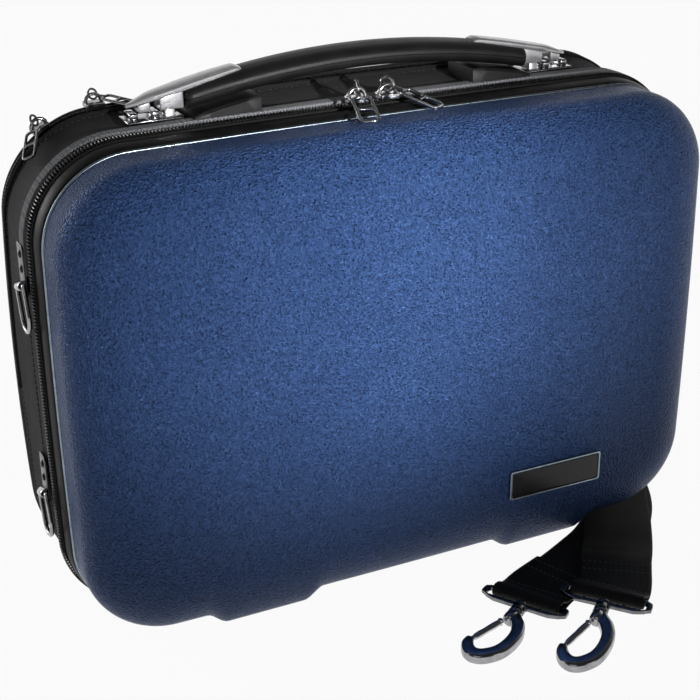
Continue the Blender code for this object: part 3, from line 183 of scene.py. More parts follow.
def smooth_path(points, per=6, cyclic=False):
    """Catmull-Rom through the points; each may carry further numbers such as a radius."""
    rows = [tuple(p) for p in points]
    count = len(rows)
    result = []
    for i in range(count if cyclic else count - 1):
        if cyclic:
            quad = [rows[(i + k) % count] for k in (-1, 0, 1, 2)]
        else:
            quad = [rows[min(max(i + k, 0), count - 1)] for k in (-1, 0, 1, 2)]
        for k in range(per):
            t = k / per
            result.append(tuple(0.5 * (2 * b + (c - a) * t + (2 * a - 5 * b + 4 * c - d) * t * t
                                       + (3 * b - a - 3 * c + d) * t ** 3) for a, b, c, d in zip(*quad)))
    if not cyclic:
        result.append(rows[-1])
    return result


def swept(points, radius, sides=12, cyclic=False, flat=1.0, up=None):
    """A round or flattened wire along the points; radius is one number or one for each point."""
    path = [Vector(p[:3]) for p in points]
    radii = radius if isinstance(radius, (list, tuple)) else [radius] * len(path)
    count = len(path)
    normal = Vector(up) if up else None
    rings = []
    for i, point in enumerate(path):
        after = path[(i + 1) % count] if cyclic else path[min(i + 1, count - 1)]
        before = path[i - 1] if cyclic or i else path[0]
        tangent = (after - before).normalized()
        if normal is None:
            normal = tangent.orthogonal()
        if up:
            normal = Vector(up)
        normal = (normal - tangent * normal.dot(tangent)).normalized()
        side = tangent.cross(normal)
        rings.append([point + (normal * math.cos(a) * flat + side * math.sin(a)) * radii[i]
                      for a in (2 * math.pi * k / sides for k in range(sides))])
    return lofted(rings, looped=cyclic)


def turned(profile, start, axis, sides=24):
    """A lathe form: profile gives (along, radius) pairs from start along the axis."""
    axis = Vector(axis).normalized()
    side = axis.orthogonal().normalized()
    other = axis.cross(side)
    rings = [[Vector(start) + axis * along + (side * math.cos(a) + other * math.sin(a)) * radius
              for a in (2 * math.pi * k / sides for k in range(sides))] for along, radius in profile]
    return lofted(rings)


def moved(mesh_data, matrix):
    points, faces = mesh_data
    return [matrix @ Vector(p) for p in points], faces


def rounded_loop(width, height, radius, steps=6):
    points = []
    for quarter, (sx, sy) in enumerate(((1, 1), (-1, 1), (-1, -1), (1, -1))):
        for k in range(steps + 1):
            angle = math.radians(90 * (quarter + k / steps))
            points.append((sx * (width / 2 - radius) + radius * math.cos(angle),
                           sy * (height / 2 - radius) + radius * math.sin(angle)))
    return points


def plate(loops, thickness, edge, steps=3):
    """A flat plate in the XY plane with holes and rounded edges, as (points, faces)."""
    curve = bpy.data.curves.new("plate", "CURVE")
    curve.dimensions = "2D"
    curve.fill_mode = "BOTH"
    curve.extrude = thickness / 2 - edge
    curve.bevel_depth = edge
    curve.bevel_resolution = steps
    curve.offset = -edge
    for loop in loops:
        spline = curve.splines.new("POLY")
        spline.points.add(len(loop) - 1)
        for spot, point in zip(spline.points, loop):
            spot.co = (point[0], point[1], 0.0, 1.0)
        spline.use_cyclic_u = True
    item = bpy.data.objects.new("plate", curve)
    bpy.context.scene.collection.objects.link(item)
    bpy.context.view_layer.update()
    mesh = bpy.data.meshes.new_from_object(item.evaluated_get(bpy.context.evaluated_depsgraph_get()))
    data = ([v.co.copy() for v in mesh.vertices], [tuple(p.vertices) for p in mesh.polygons])
    bpy.data.objects.remove(item, do_unlink=True)
    bpy.data.curves.remove(curve)
    bpy.data.meshes.remove(mesh)
    return data


def block(low, high, edge=0.0006, steps=3, tops=None):
    """A block with rounded edges; tops gives heights at its two X ends."""
    bm = bmesh.new()
    bmesh.ops.create_cube(bm, size=1)
    for vert in bm.verts:
        vert.co = Vector([low[k] + (vert.co[k] + 0.5) * (high[k] - low[k]) for k in range(3)])
    if tops:
        for vert in bm.verts:
            if vert.co.z > (low[2] + high[2]) / 2:
                vert.co.z = tops[1] if vert.co.x > (low[0] + high[0]) / 2 else tops[0]
    bmesh.ops.bevel(bm, geom=bm.edges[:], offset=edge, segments=steps, affect="EDGES", profile=0.5)
    bm.verts.index_update()
    data = ([v.co.copy() for v in bm.verts], [tuple(v.index for v in f.verts) for f in bm.faces])
    bm.free()
    return data


# Material helpers
class Shader:
    """A Principled material with a few shortcuts for its node tree."""

    def __init__(self, name, **sockets):
        self.material = bpy.data.materials.new(name)
        self.material.use_nodes = True
        self.tree = self.material.node_tree
        self.shader = self.tree.nodes["Principled BSDF"]
        for key, value in sockets.items():
            self.shader.inputs[key.replace("_", " ")].default_value = value
        self.place = self.node("ShaderNodeTexCoord").outputs["Object"]

    def node(self, kind, **values):
        made = self.tree.nodes.new(kind)
        for key, value in values.items():
            if key in made.inputs:
                made.inputs[key].default_value = value
            else:
                setattr(made, key, value)
        return made

    def link(self, source, target):
        self.tree.links.new(source, target)

    def noise(self, scale, detail=2.0, roughness=0.5):
        made = self.node("ShaderNodeTexNoise", Scale=scale, Detail=detail, Roughness=roughness)
        self.link(self.place, made.inputs["Vector"])
        return made.outputs["Fac"]

    def cells(self, scale, feature="SMOOTH_F1"):
        made = self.node("ShaderNodeTexVoronoi", feature=feature, Scale=scale)
        self.link(self.place, made.inputs["Vector"])
        return made.outputs["Distance"]

    def wave(self, scale, direction, distortion=0.0):
        made = self.node("ShaderNodeTexWave", Scale=scale, Distortion=distortion, bands_direction=direction)
        made.inputs["Detail Scale"].default_value = 2.0
        self.link(self.place, made.inputs["Vector"])
        return made.outputs["Fac"]

    def maths(self, operation, first, second):
        made = self.node("ShaderNodeMath", operation=operation)
        for socket, value in zip(made.inputs, (first, second)):
            if isinstance(value, (int, float)):
                socket.default_value = value
            else:
                self.link(value, socket)
        return made.outputs[0]

    def ramp(self, factor, stops):
        made = self.node("ShaderNodeValToRGB")
        elements = made.color_ramp.elements
        while len(elements) < len(stops):
            elements.new(0.5)
        for element, (place, colour) in zip(elements, stops):
            element.position = place
            element.color = (*colour, 1.0) if isinstance(colour, tuple) else (colour, colour, colour, 1.0)
        self.link(factor, made.inputs["Fac"])
        return made.outputs["Color"]

    def colour(self, factor, *stops):
        self.link(self.ramp(factor, stops), self.shader.inputs["Base Color"])

    def roughness(self, factor, low, high):
        made = self.node("ShaderNodeMapRange")
        made.inputs["To Min"].default_value = low
        made.inputs["To Max"].default_value = high
        self.link(factor, made.inputs["Value"])
        self.link(made.outputs["Result"], self.shader.inputs["Roughness"])

    def bump(self, *heights):
        """Each height is (factor, distance in metres)."""
        normal = None
        for factor, distance in heights:
            made = self.node("ShaderNodeBump", Distance=distance, Strength=1.0)
            self.link(factor, made.inputs["Height"])
            if normal:
                self.link(normal, made.inputs["Normal"])
            normal = made.outputs["Normal"]
        self.link(normal, self.shader.inputs["Normal"])


def weave(look, pitch):
    """Height of a plain weave with threads along the three axes."""
    scale = 2 * math.pi / pitch / 20
    waves = [look.wave(scale, axis) for axis in "XYZ"]
    first = look.maths("MULTIPLY", waves[0], waves[1])
    second = look.maths("MULTIPLY", waves[1], waves[2])
    third = look.maths("MULTIPLY", waves[0], waves[2])
    return look.maths("ADD", look.maths("ADD", first, second), third)


def moulded_abs():
    look = Shader("pebbled_navy_abs", Roughness=0.34, Specular_IOR_Level=0.12, Metallic=0.25)
    pebble = look.cells(820)
    fine = look.noise(1050, 1)
    patches = look.noise(18, 3)
    # Colour is lighter on the pebble tops and fine bumps: partly random grain tone, partly painted glint.
    grain_glint_speck = look.maths("ADD", look.maths("MULTIPLY", pebble, 0.55), look.maths("MULTIPLY", fine, 0.75))
    tone = look.maths("ADD", look.maths("MULTIPLY", grain_glint_speck, 0.85), look.maths("MULTIPLY", patches, 0.15))
    look.colour(tone, (0.38, (0.019, 0.043, 0.122)), (0.56, (0.026, 0.059, 0.165)),
                (0.74, (0.040, 0.086, 0.225)))
    look.roughness(look.noise(900, 2), 0.24, 0.42)
    look.bump((fine, 0.0024), (pebble, 0.0006), (look.noise(45, 2), 0.0004))
    return look.material


def satin_band():
    look = Shader("satin_black_band", Roughness=0.38, Specular_IOR_Level=0.06)
    scuff = look.noise(160, 4)
    look.colour(scuff, (0.3, 0.0060), (0.75, 0.012))
    look.roughness(scuff, 0.30, 0.48)
    look.bump((look.noise(2600, 2), 0.00006))
    return look.material


def nylon():
    look = Shader("woven_black_nylon", Roughness=0.72, Sheen_Weight=0.03, Specular_IOR_Level=0.15)
    threads = weave(look, 0.0007)
    worn = look.noise(35, 4)
    tone = look.maths("ADD", look.maths("MULTIPLY", threads, 0.25), look.maths("MULTIPLY", worn, 0.75))
    look.colour(tone, (0.25, 0.0055), (0.6, 0.0110), (0.95, 0.020))
    look.roughness(worn, 0.62, 0.85)
    look.bump((threads, 0.00008), (look.noise(1900, 2), 0.00012), (look.noise(60, 3), 0.0004))
    return look.material


def tape_cloth():
    look = Shader("zip_tape_cloth", Roughness=0.8, Sheen_Weight=0.03, Specular_IOR_Level=0.15)
    threads = weave(look, 0.0008)
    look.colour(threads, (0.2, 0.007), (0.9, 0.020))
    look.roughness(look.noise(220, 3), 0.65, 0.9)
    look.bump((threads, 0.0002))
    return look.material


def coil_plastic():
    look = Shader("coil_plastic", Roughness=0.28, Specular_IOR_Level=0.5)
    wear = look.noise(420, 3)
    look.colour(wear, (0.35, 0.006), (0.8, 0.015))
    look.roughness(wear, 0.18, 0.34)
    look.bump((look.noise(3000, 2), 0.00003))
    return look.material


def grey_tape():
    look = Shader("ribbed_grey_webbing", Roughness=0.82, Sheen_Weight=0.08, Specular_IOR_Level=0.3)
    ribs = look.wave(2 * math.pi / 0.0014 / 20, "X", 0.4)
    cross = weave(look, 0.0009)
    tone = look.maths("ADD", look.maths("MULTIPLY", ribs, 0.35), look.maths("MULTIPLY", cross, 0.65))
    look.colour(tone, (0.15, (0.120, 0.124, 0.135)), (0.8, (0.290, 0.298, 0.315)))
    look.roughness(look.noise(300, 3), 0.7, 0.9)
    look.bump((ribs, 0.0003), (cross, 0.0002))
    return look.material


def strap_webbing():
    look = Shader("ribbed_black_webbing", Roughness=0.62, Sheen_Weight=0.03, Specular_IOR_Level=0.18)
    cross = weave(look, 0.0010)
    worn = look.noise(60, 3)
    tone = look.maths("ADD", look.maths("MULTIPLY", cross, 0.6), look.maths("MULTIPLY", worn, 0.4))
    look.colour(tone, (0.2, 0.0055), (0.6, 0.0110), (0.95, 0.021))
    look.roughness(worn, 0.50, 0.72)
    look.bump((cross, 0.00016), (look.noise(2200, 2), 0.0001))
    return look.material


def rubber(name, low, high):
    look = Shader(name, Roughness=0.5, Specular_IOR_Level=0.2)
    wear = look.noise(90, 4)
    look.colour(wear, (0.3, low), (0.8, high))
    look.roughness(wear, 0.36, 0.52)
    look.bump((look.cells(1500), 0.00006), (look.noise(2600, 2), 0.00004))
    return look.material


def metal(name, colours, roughness, scratch=0.00002, metallic=1.0):
    look = Shader(name, Metallic=metallic)
    wear = look.noise(240, 4)
    look.colour(wear, (0.25, colours[0]), (0.8, colours[1]))
    look.roughness(look.noise(520, 4), *roughness)
    look.bump((look.noise(1400, 3), scratch))
    return look.material


def plush():
    look = Shader("grey_black_plush", Roughness=0.95, Sheen_Weight=0.55, Sheen_Roughness=0.45)
    pile = look.noise(2600, 3)
    brushed = look.noise(28, 4)
    tone = look.maths("ADD", look.maths("MULTIPLY", pile, 0.5), look.maths("MULTIPLY", brushed, 0.5))
    look.colour(tone, (0.3, 0.009), (0.75, 0.030))
    look.roughness(brushed, 0.85, 1.0)
    look.bump((pile, 0.0005), (brushed, 0.0012))
    return look.material


def badge_face():
    look = Shader("bare_badge_face", Roughness=0.25, Specular_IOR_Level=0.25)
    grain = look.wave(160, "Z", 3.0)
    cloud = look.noise(70, 3)
    look.colour(cloud, (0.3, 0.006), (0.8, 0.020))
    look.roughness(cloud, 0.16, 0.30)
    look.bump((grain, 0.00001))
    return look.material


def thread(name, low, high):
    look = Shader(name, Roughness=0.6)
    twist = look.noise(2400, 2)
    look.colour(twist, (0.3, low), (0.75, high))
    look.roughness(twist, 0.5, 0.7)
    look.bump((twist, 0.00008))
    return look.material


ABS = moulded_abs()
BAND = satin_band()
NYLON = nylon()
TAPE = tape_cloth()
COIL = coil_plastic()
GREY = grey_tape()
WEBBING = strap_webbing()
GRIP = rubber("black_grip_rubber", 0.008, 0.015)
WEDGE = rubber("black_wedge_rubber", 0.007, 0.013)
CHROME = metal("polished_chrome", ((0.46, 0.46, 0.47), (0.62, 0.62, 0.63)), (0.06, 0.14))
LEAF = metal("satin_chrome_leaf", ((0.42, 0.42, 0.43), (0.58, 0.58, 0.59)), (0.16, 0.28), metallic=0.6)
GUNMETAL = metal("dark_chrome_plate", ((0.13, 0.13, 0.14), (0.24, 0.24, 0.25)), (0.08, 0.20))
SMOKE = metal("smoked_chrome", ((0.26, 0.26, 0.27), (0.44, 0.44, 0.45)), (0.06, 0.15))
PLATE = metal("blackened_plate", ((0.018, 0.018, 0.020), (0.045, 0.045, 0.048)), (0.22, 0.38))
SILVER = metal("silver_blue_trim", ((0.16, 0.20, 0.24), (0.30, 0.35, 0.40)), (0.22, 0.36))
PLUSH = plush()
BADGE = badge_face()
STITCH = thread("black_stitch", 0.012, 0.035)
GREY_STITCH = thread("grey_stitch", 0.07, 0.19)


# Front half: moulded shell, feet, piping, band
def lid_surface(shrink, steps=16):
    places = []
    for k in range(steps + 1):
        angle = math.pi / 2 * k / steps
        inset = shrink + (0.029 - shrink) * (1 - math.cos(angle))
        places.append((-inset, RIM_Y - 0.014 - (0.019 - shrink) * math.sin(angle)))
    for inset in (0.036, 0.044, 0.053, 0.062, 0.072, 0.084, 0.098, 0.112):
        places.append((-inset, FRONT_Y + shrink - 0.0015 * smoothstep((inset - 0.029) / 0.045)))
    return places


def with_foot(point):
    """Draws the lower edge of the shell down to the floor along its two feet."""
    x = abs(point.x)
    along = smoothstep((x - 0.0510) / 0.0110) * smoothstep((0.1150 - x) / 0.0110)
    bottom = FOOT_HEIGHT + 0.0018 * (point.x / HALF_CASE) ** 2
    near = 1 - smoothstep((point.z - bottom) / 0.030)
    return Vector((point.x, point.y, point.z - bottom * along * near))


def build_shell():
    outer = [(-0.0005, RIM_Y - 0.0001), (-0.0001, RIM_Y - 0.0005), (0, RIM_Y - 0.0010), (0, RIM_Y - 0.004),
             (0, RIM_Y - 0.009)] + lid_surface(0)
    inner = [(-0.0028, RIM_Y - 0.0001), (-0.003, RIM_Y - 0.004)] + lid_surface(0.003, 8)
    rings = [case_ring(y, offset, flat=60) for offset, y in reversed(inner)]
    for offset, y in outer:
        ring = case_ring(y, offset, flat=60)
        rings.append([with_foot(point) for point in ring] if y < RIM_Y - 0.002 else ring)
    make("front_shell", lofted(rings), ABS, "lid", "lid_shell", sharp=60)


def ring_path(y, offset, first=0, last=None, spacing=None):
    """The outline as a path; spacing resamples it evenly and gives (point, tangent) pairs."""
    points = case_ring(y, offset)
    points = points[first:last] if last else points + points[:1]
    if not spacing:
        return points
    lengths = [0.0]
    for a, b in zip(points, points[1:]):
        lengths.append(lengths[-1] + (b - a).length)
    count = int(lengths[-1] / spacing)
    samples, k = [], 0
    for i in range(count):
        goal = (i + 0.5) * lengths[-1] / count
        while lengths[k + 1] < goal:
            k += 1
        share = (goal - lengths[k]) / (lengths[k + 1] - lengths[k])
        samples.append((points[k].lerp(points[k + 1], share), (points[k + 1] - points[k]).normalized()))
    return samples


RING_COUNT = len(case_ring(RIM_Y, 0))
ZIP_FIRST = TOP_STEPS + 9
POCKET_FIRST = TOP_STEPS + CORNER_STEPS + 4
WEBBING_FIRST = TOP_STEPS + CORNER_STEPS + SIDE_STEPS


def over(first):
    """Slice of the outline from one side over the top to the same place on the other side."""
    return first, RING_COUNT - first + 1


def strip(section, first=None, under=None):
    """A strip round the case with a section of (offset, y) corners, whole, over the top, or along the bottom."""
    if under is not None:
        paths = []
        for offset, y in section:
            ring = case_ring(y, offset)
            paths.append(ring[RING_COUNT - under:] + ring[:under + 1])
        return lofted(list(zip(*paths)))
    if first is None:
        return lofted(list(zip(*[case_ring(y, offset) for offset, y in section])), looped=True)
    start, stop = over(first)
    return lofted(list(zip(*[case_ring(y, offset)[start:stop] for offset, y in section])))


def round_section(offset, y, radius, sides=12):
    return [(offset + radius * math.cos(a), y + radius * math.sin(a))
            for a in (2 * math.pi * k / sides for k in range(sides))]


def build_rim():
    make("rim_piping", strip(round_section(-0.00025, -0.0393, 0.0007)), SILVER, "lid", "lid_piping")
    bulge = [(-0.0027, -0.0381), (-0.0006, -0.0381), (-0.0001, -0.0377), (0.0003, -0.0362), (0.00045, -0.0340),
             (0.0004, -0.0318), (0.0002, -0.0300), (-0.0001, -0.0286), (-0.0006, -0.0282), (-0.0027, -0.0282)]
    make("rim_band", strip(bulge), BAND, "lid", "lid_band", sharp=50)


def coil_teeth(y_root, y_tip, spacing, shift, first, rise, radius):
    """One ridge of the coil for each pitch, from the tape over to the middle of the zip."""
    start, stop = over(first)
    samples = ring_path((y_root + y_tip) / 2, 0, start, stop, spacing)
    out_y = math.copysign(1, y_tip - y_root)
    parts = []
    for point, tangent in samples:
        out = Vector((tangent.z, 0, -tangent.x))
        base = point + tangent * shift
        places = ((y_root, rise - 0.0009, 0.8), (y_root + out_y * 0.0004, rise - 0.00025, 1.0),
                  (mix(y_root, y_tip, 0.5), rise - 0.0001, 1.0), (y_tip - out_y * 0.0004, rise, 1.1),
                  (y_tip, rise - 0.0006, 0.9))
        path = [Vector((base.x, y, base.z)) + out * level for y, level, _ in places]
        parts.append(swept(path, [radius * size for _, _, size in places], sides=6, up=tuple(tangent)))
    return joined(*parts)


def stitches(samples, offset, length, radius, material, name, body, lift=0.0):
    """Short rounded threads lying on the surface; samples are (point, tangent, out)."""
    parts = []
    for point, tangent, out in samples:
        middle = point + out * (offset + lift)
        path = [middle + tangent * (length * k / 2) - out * (abs(k) * radius * 0.9) for k in (-1, -0.5, 0, 0.5, 1)]
        parts.append(swept(path, [radius * s for s in (0.5, 0.95, 1.0, 0.95, 0.5)], sides=6, up=tuple(out)))
    return make(name, joined(*parts), material, body)


def row_round(y, offset, spacing, first):
    start, stop = over(first)
    return [(point, tangent, Vector((tangent.z, 0, -tangent.x)))
            for point, tangent in ring_path(y, offset, start, stop, spacing)]


def build_main_zip():
    low = -0.0027
    lid_tape = [(low, -0.0279), (0.0001, -0.0279), (0.00035, -0.0276), (0.0002, -0.0266), (-0.0006, -0.0257),
                (low, -0.0253)]
    base_tape = [(low, -0.0221), (0.0001, -0.0221), (0.00035, -0.0224), (0.0002, -0.0234), (-0.0006, -0.0243),
                 (low, -0.0247)]
    make("main_zip_front_tape", strip(lid_tape, ZIP_FIRST), TAPE, "lid", "lid_zip")
    make("main_zip_back_tape", strip(base_tape, ZIP_FIRST), TAPE, "base", "base_zip")
    make("main_zip_front_coil", coil_teeth(-0.02700, -0.02465, 0.0017, 0.0, ZIP_FIRST, 0.00115, 0.00042), COIL, "lid")
    make("main_zip_back_coil", coil_teeth(-0.02300, -0.02535, 0.0017, 0.00085, ZIP_FIRST, 0.00115, 0.00042), COIL,
         "base")
    make("bottom_tape_front", strip([(low, -0.0279), (0.0002, -0.0279), (0.0002, -0.0253), (low, -0.0253)],
                                    under=ZIP_FIRST - 1), TAPE, "lid", "lid_hinge_tape")
    make("bottom_tape_back", strip([(-0.005, -0.0221), (0.0002, -0.0221), (0.0002, -0.0247), (-0.005, -0.0247)],
                                   under=ZIP_FIRST - 1), TAPE, "base", "base_hinge_tape")


# Soft back half with its pocket
def soft(point, outward, amount, scale=18.0):
    """Gentle unevenness of padded cloth."""
    wobble = noise.noise(Vector(point) * scale) + 0.5 * noise.noise(Vector(point) * scale * 2.7)
    return Vector(point) + outward * (amount * wobble)


def ring_out(ring, i):
    tangent = (ring[(i + 1) % len(ring)] - ring[i - 1]).normalized()
    return Vector((tangent.z, 0, -tangent.x))


def soft_ring(y, offset, amount):
    ring = case_ring(y, offset)
    if not amount:
        return ring
    result = []
    for i, point in enumerate(ring):
        calm = smoothstep(point.z / 0.02)
        result.append(soft(point, ring_out(ring, i), amount * calm))
    return result


def build_base():
    ys = [-0.0218, -0.0214, -0.0204, -0.0185, -0.0160, -0.0130, -0.0098, -0.0065, -0.0030, 0.0005, 0.0040, 0.0072,
          0.0100, 0.0122, 0.0140, 0.0156, 0.0168, 0.0174, 0.0177]
    outer = []
    for k, y in enumerate(ys):
        pull = 0.0005 * math.exp(-((y + 0.0125) / 0.0009) ** 2) + 0.0007 * math.exp(-((y - 0.0150) / 0.0010) ** 2)
        edge = 0.0006 if y in (ys[0], ys[-1]) else 0.0
        calm = 0.0 if k in (0, len(ys) - 1) else 0.0004
        outer.append(soft_ring(y, -pull - edge, calm))
    inner = [case_ring(y, -0.005) for y in (0.0177, 0.0134)]
    inner += [case_ring(0.0130, offset) for offset in (-0.0062, -0.04, -0.10)]
    inner += [case_ring(0.0090, offset) for offset in (-0.10, -0.04, -0.0062)]
    inner += [case_ring(y, -0.005) for y in (0.0086, -0.0060, -0.0150, -0.0218)]
    cover = make("back_half_cover", lofted(outer + inner, looped=True, caps=False), NYLON, "base", "base_shell",
                 sharp=50)
    welt = strip(round_section(0.0001, 0.0150, 0.0011, 10), POCKET_FIRST)
    make("pocket_welt", welt, TAPE, "base")
    for label, y in (("front", -0.0119), ("rear", 0.0128)):
        stitches(row_round(y, 0, 0.0030, CORNER_STEPS), 0.0001, 0.0021, 0.00026, STITCH, f"side_stitches_{label}",
                 "base")


def pocket_surface(shrink, fine=True):
    places = []
    steps = 8 if fine else 4
    for k in range(steps):
        angle = math.pi / 2 * k / (steps - 1)
        inset = shrink + (0.0035 - shrink / 2) * (1 - math.cos(angle))
        places.append((-inset, BACK_Y - 0.0035 + (0.0035 - shrink) * math.sin(angle)))
    for inset in ((0.006, 0.009, 0.012, 0.015, 0.022, 0.030, 0.040, 0.055, 0.075, 0.10) if fine
                  else (0.015, 0.03, 0.055, 0.10)):
        rise = 0.004 / 3 * smoothstep((inset - 0.0035) / 0.0115) if inset <= 0.015 else \
            mix(0.004 / 3, 0.004, math.sin(math.pi / 2 * min((inset - 0.015) / 0.040, 1)))
        places.append((-inset - shrink, BACK_Y - shrink + rise))
    return places


def cut_at(mesh_data, level, keep_above):
    """Keeps the part of a closed skin above or below a level and closes the cut."""
    bm = bmesh.new()
    points, faces = mesh_data
    verts = [bm.verts.new(p) for p in points]
    for face in faces:
        bm.faces.new([verts[i] for i in face])
    bmesh.ops.recalc_face_normals(bm, faces=bm.faces)
    geometry = bm.verts[:] + bm.edges[:] + bm.faces[:]
    cut = bmesh.ops.bisect_plane(bm, geom=geometry, plane_co=(0, 0, level), plane_no=(0, 0, 1),
                                 clear_inner=keep_above, clear_outer=not keep_above)
    edges = [e for e in cut["geom_cut"] if isinstance(e, bmesh.types.BMEdge)]
    bmesh.ops.holes_fill(bm, edges=edges, sides=0)
    bm.verts.index_update()
    data = ([v.co.copy() for v in bm.verts], [tuple(v.index for v in f.verts) for f in bm.faces])
    bm.free()
    return data


def pocket_skin(start_y):
    rings = []
    for offset, y in [(-0.003, start_y)] + list(reversed([(o, y) for o, y in pocket_surface(0.003, False)]))[::-1]:
        rings.append(case_ring(y, offset))
    outer = [case_ring(start_y, -0.0004), case_ring(start_y + 0.0005, 0)]
    for offset, y in pocket_surface(0):
        ring = case_ring(y, offset)
        middle = Vector((0, y, 0.12))
        wavy = []
        for point in ring:
            calm = min(1.0, max(0.0, (-offset - 0.004) / 0.02)) * smoothstep(point.z / 0.03)
            lump = noise.noise(point * 22.0) + 0.6 * noise.noise(point * 51.0 + middle)
            wavy.append(point + Vector((0, 0.0007 * lump * calm, 0)))
        outer.append(wavy)
    inside = list(reversed(rings))
    return lofted(inside + outer)


def build_pocket():
    flap = make("pocket_cover_upper", cut_at(pocket_skin(0.0213), POCKET_LEVEL + 0.00015, True), NYLON, "pocket_flap",
                "pocket_flap", sharp=50)
    panel = make("pocket_cover_lower", cut_at(pocket_skin(0.0180), POCKET_LEVEL - 0.00015, False), NYLON, "base",
                 "pocket_lower_panel", sharp=50)
    low = -0.004
    make("pocket_tape_front", strip([(low, 0.0180), (-0.0003, 0.0180), (-0.0006, 0.0186), (-0.0012, 0.0193),
                                     (low, 0.01935)], POCKET_FIRST), TAPE, "base", "pocket_zip_base")
    make("pocket_tape_back", strip([(low, 0.0210), (-0.0003, 0.0210), (-0.0006, 0.0204), (-0.0012, 0.0197),
                                    (low, 0.01965)], POCKET_FIRST), TAPE, "pocket_flap", "pocket_zip_flap")
    make("pocket_coil_front", coil_teeth(0.01855, 0.01985, 0.0017, 0.0, POCKET_FIRST, 0.0001, 0.00042), COIL, "base")
    make("pocket_coil_back", coil_teeth(0.02045, 0.01915, 0.0017, 0.00085, POCKET_FIRST, 0.0001, 0.00042), COIL,
         "pocket_flap")
    for label, inset, keep, body in (("upper", 0.0105, True, "pocket_flap"), ("lower", 0.0105, False, "base")):
        samples = []
        y = BACK_Y + 0.004 / 3 * smoothstep((inset - 0.0035) / 0.0115)
        for point, tangent in ring_path(y, -inset, spacing=0.0031):
            if (point.z > POCKET_LEVEL + 0.004) if keep else (0.02 < point.z < POCKET_LEVEL - 0.004):
                samples.append((point, tangent, Vector((0, 1, 0))))
        stitches(samples, 0.0001, 0.0022, 0.00026, STITCH, f"pocket_stitches_{label}", body)
    half = case_shape(BACK_Y, -0.012)["half"]
    for label, z, body in (("upper", POCKET_LEVEL + 0.0045, "pocket_flap"), ("lower", POCKET_LEVEL - 0.0045, "base")):
        samples = []
        for k in range(int(2 * half / 0.0031)):
            x = -half + 0.0031 * (k + 0.5)
            depth = min(half - abs(x) + 0.012, 0.055)
            rise = 0.004 / 3 + (0.004 - 0.004 / 3) * math.sin(math.pi / 2 * min(max(depth - 0.015, 0) / 0.04, 1))
            lump = noise.noise(Vector((x, BACK_Y, z)) * 22.0) * 0.0003
            samples.append((Vector((x, BACK_Y + rise + lump, z)), Vector((1, 0, 0)), Vector((0, 1, 0))))
        stitches(samples, 0.0001, 0.0022, 0.00028, STITCH, f"hinge_stitches_{label}", body)


def build_webbing():
    front, back = WEBBING_Y, WEBBING_Y + WEBBING_WIDTH
    section = [(0.0003, front), (0.0013, front), (0.0017, front + 0.0004), (0.00175, front + 0.002),
               (0.0017, front + 0.0040), (0.00175, back - 0.002), (0.0017, back - 0.0004), (0.0013, back),
               (0.0003, back)]
    make("grey_top_webbing", strip(section, WEBBING_FIRST - 1), GREY, "base", "top_webbing", sharp=50)


# Inside: lining, foam tray, accessory lid
def tray_layout():
    left, right = -0.16175, 0.16175
    return {
        "lower_joint": (-0.14975, 0.11425, 0.0175, 0.0595),
        "upper_joint": (left, 0.07425, 0.0665, 0.1045),
        "bell": (0.05775, right, 0.1115, 0.1955),
        "mouthpiece": (-0.04325, 0.05075, 0.1115, 0.1485),
        "barrel": (-0.02125, 0.05075, 0.1555, 0.1915),
        "accessory": (left, -0.07375, 0.1115, 0.1955),
    }


def solid_object(name, mesh_data):
    points, faces = mesh_data
    mesh = bpy.data.meshes.new(name)
    mesh.from_pydata([tuple(p) for p in points], [], faces)
    bm = bmesh.new()
    bm.from_mesh(mesh)
    bmesh.ops.recalc_face_normals(bm, faces=bm.faces)
    bm.to_mesh(mesh)
    bm.free()
    item = bpy.data.objects.new(name, mesh)
    bpy.context.scene.collection.objects.link(item)
    return item


def minus(mesh_data, cutters):
    """Cuts closed forms out of a closed form."""
    item = solid_object("body", mesh_data)
    tools = [solid_object("tool", cutter) for cutter in cutters]
    for tool in tools:
        modifier = item.modifiers.new("cut", "BOOLEAN")
        modifier.operation = "DIFFERENCE"
        modifier.object = tool
    bpy.context.view_layer.update()
    mesh = bpy.data.meshes.new_from_object(item.evaluated_get(bpy.context.evaluated_depsgraph_get()))
    data = ([v.co.copy() for v in mesh.vertices], [tuple(p.vertices) for p in mesh.polygons])
    for thing in [item, *tools]:
        bpy.data.objects.remove(thing, do_unlink=True)
    bpy.data.meshes.remove(mesh)
    return data


def well(left, right, low, high, front, floor, radius, lip):
    """A recess with round corners, a rolled lip and a dished floor."""
    middle = ((left + right) / 2, (low + high) / 2)
    rings = []
    levels = [(front - 0.002, lip)] + [(front + lip * (1 - math.cos(a)), lip * (1 - math.sin(a)))
                                       for a in (math.pi / 2 * k / 4 for k in range(5))]
    levels += [(floor - 0.003, 0.0)]
    levels += [(floor - 0.003 + 0.003 * math.sin(a), -0.003 * (1 - math.cos(a)))
               for a in (math.pi / 2 * k / 4 for k in range(1, 5))]
    for y, grow in levels:
        loop = rounded_loop(right - left + 2 * grow, high - low + 2 * grow, max(radius + grow, 0.002), 8)
        rings.append([Vector((middle[0] + x, y, middle[1] + z)) for x, z in loop])
    return lofted(rings)


